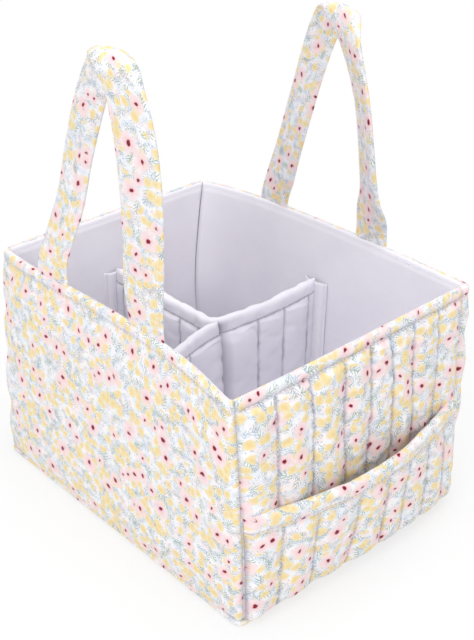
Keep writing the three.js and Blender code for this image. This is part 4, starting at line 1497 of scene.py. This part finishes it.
# %% The camera
photo_height, focal_length = 640, 1114.042  # in the photograph's pixels
camera_data = bpy.data.cameras.new("camera")
camera = bpy.data.objects.new("camera", camera_data)
bpy.context.scene.collection.objects.link(camera)
camera.location = (0.5378, -0.4778, 0.5427)
azimuth, elevation, roll = math.radians(47.586), math.radians(29.478), math.radians(-0.257)
level = math.cos(elevation)
backward = Vector((math.sin(azimuth) * level, -math.cos(azimuth) * level, math.sin(elevation)))
turn = backward.to_track_quat("Z", "Y").to_matrix() @ Matrix.Rotation(roll, 3, "Z")
camera.rotation_euler = turn.to_euler()
camera_data.sensor_width = 36
camera_data.lens = focal_length / photo_height * camera_data.sensor_width
camera_data.clip_start = 0.01
bpy.context.scene.camera = camera
print("lens", round(camera_data.lens, 2), "mm")


# %% Lamps
def lamp(name, place, size, power):
    """A round area lamp that looks at the middle of the box."""
    data = bpy.data.lights.new(name, "AREA")
    data.shape, data.size, data.energy = "DISK", size, power
    light = bpy.data.objects.new(name, data)
    bpy.context.scene.collection.objects.link(light)
    light.location = place
    light.rotation_euler = (Vector(place) - Vector((0, 0, 0.08))).to_track_quat("Z", "Y").to_euler()


lamp("top", (0.0, 0.1, 1.9), 1.6, 15)
lamp("key", (0.5, -1.5, 1.3), 1.0, 10)
lamp("fill", (1.6, -0.1, 1.0), 1.0, 3.5)

# %% A white world and floor
def seen_through(tree, share, lit, shown, output):
    """Shows one shader instead of another, by the share of a ray that sees the background."""
    mixer = tree.nodes.new("ShaderNodeMixShader")
    for socket, source in zip(mixer.inputs, (share, lit, shown)):
        tree.links.new(source, socket)
    tree.links.new(mixer.outputs[0], tree.nodes[output].inputs[0])


world = bpy.data.worlds.new("white_room")
bpy.context.scene.world = world
world.use_nodes = True
tree = world.node_tree
room = tree.nodes["Background"]
room.inputs["Color"].default_value = (0.96, 0.97, 1, 1)
room.inputs["Strength"].default_value = 0.6
seen = tree.nodes.new("ShaderNodeBackground")
seen.inputs["Color"].default_value = (1, 1, 1, 1)
path = tree.nodes.new("ShaderNodeLightPath")
either = tree.nodes.new("ShaderNodeMath")
either.operation = "MAXIMUM"
tree.links.new(path.outputs["Is Camera Ray"], either.inputs[0])
tree.links.new(path.outputs["Is Transmission Ray"], either.inputs[1])
seen_through(tree, either.outputs[0], room.outputs[0], seen.outputs[0], "World Output")

bpy.ops.mesh.primitive_plane_add(size=12)
ground = bpy.context.object
ground.name = "ground"
paint = Paint("ground_white")
paint.set(Base_Color=(0.9, 0.9, 0.9, 1), Roughness=0.9)
glow = paint.tree.nodes.new("ShaderNodeEmission")
x, y, _ = paint.node("SeparateXYZ", None, paint.node("TexCoord")[3])
far = paint.ease((x * x + y * y).maths("SQRT"), 0.15, 0.5)
camera_ray = paint.node("LightPath")[0]
share = (camera_ray * (far * 0.3 + 0.7)).socket
seen_through(paint.tree, share, paint.shader.outputs[0], glow.outputs[0], "Material Output")
ground.data.materials.append(paint.material)
ground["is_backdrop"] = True
bpy.context.scene.view_settings.view_transform = "Standard"

# %% Sizes, and the end
low, high = cad_box
seen_low, seen_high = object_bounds()
sizes = {"cad": [list(low), list(high)], "visual": [list(seen_low), list(seen_high)]}
print(sizes)
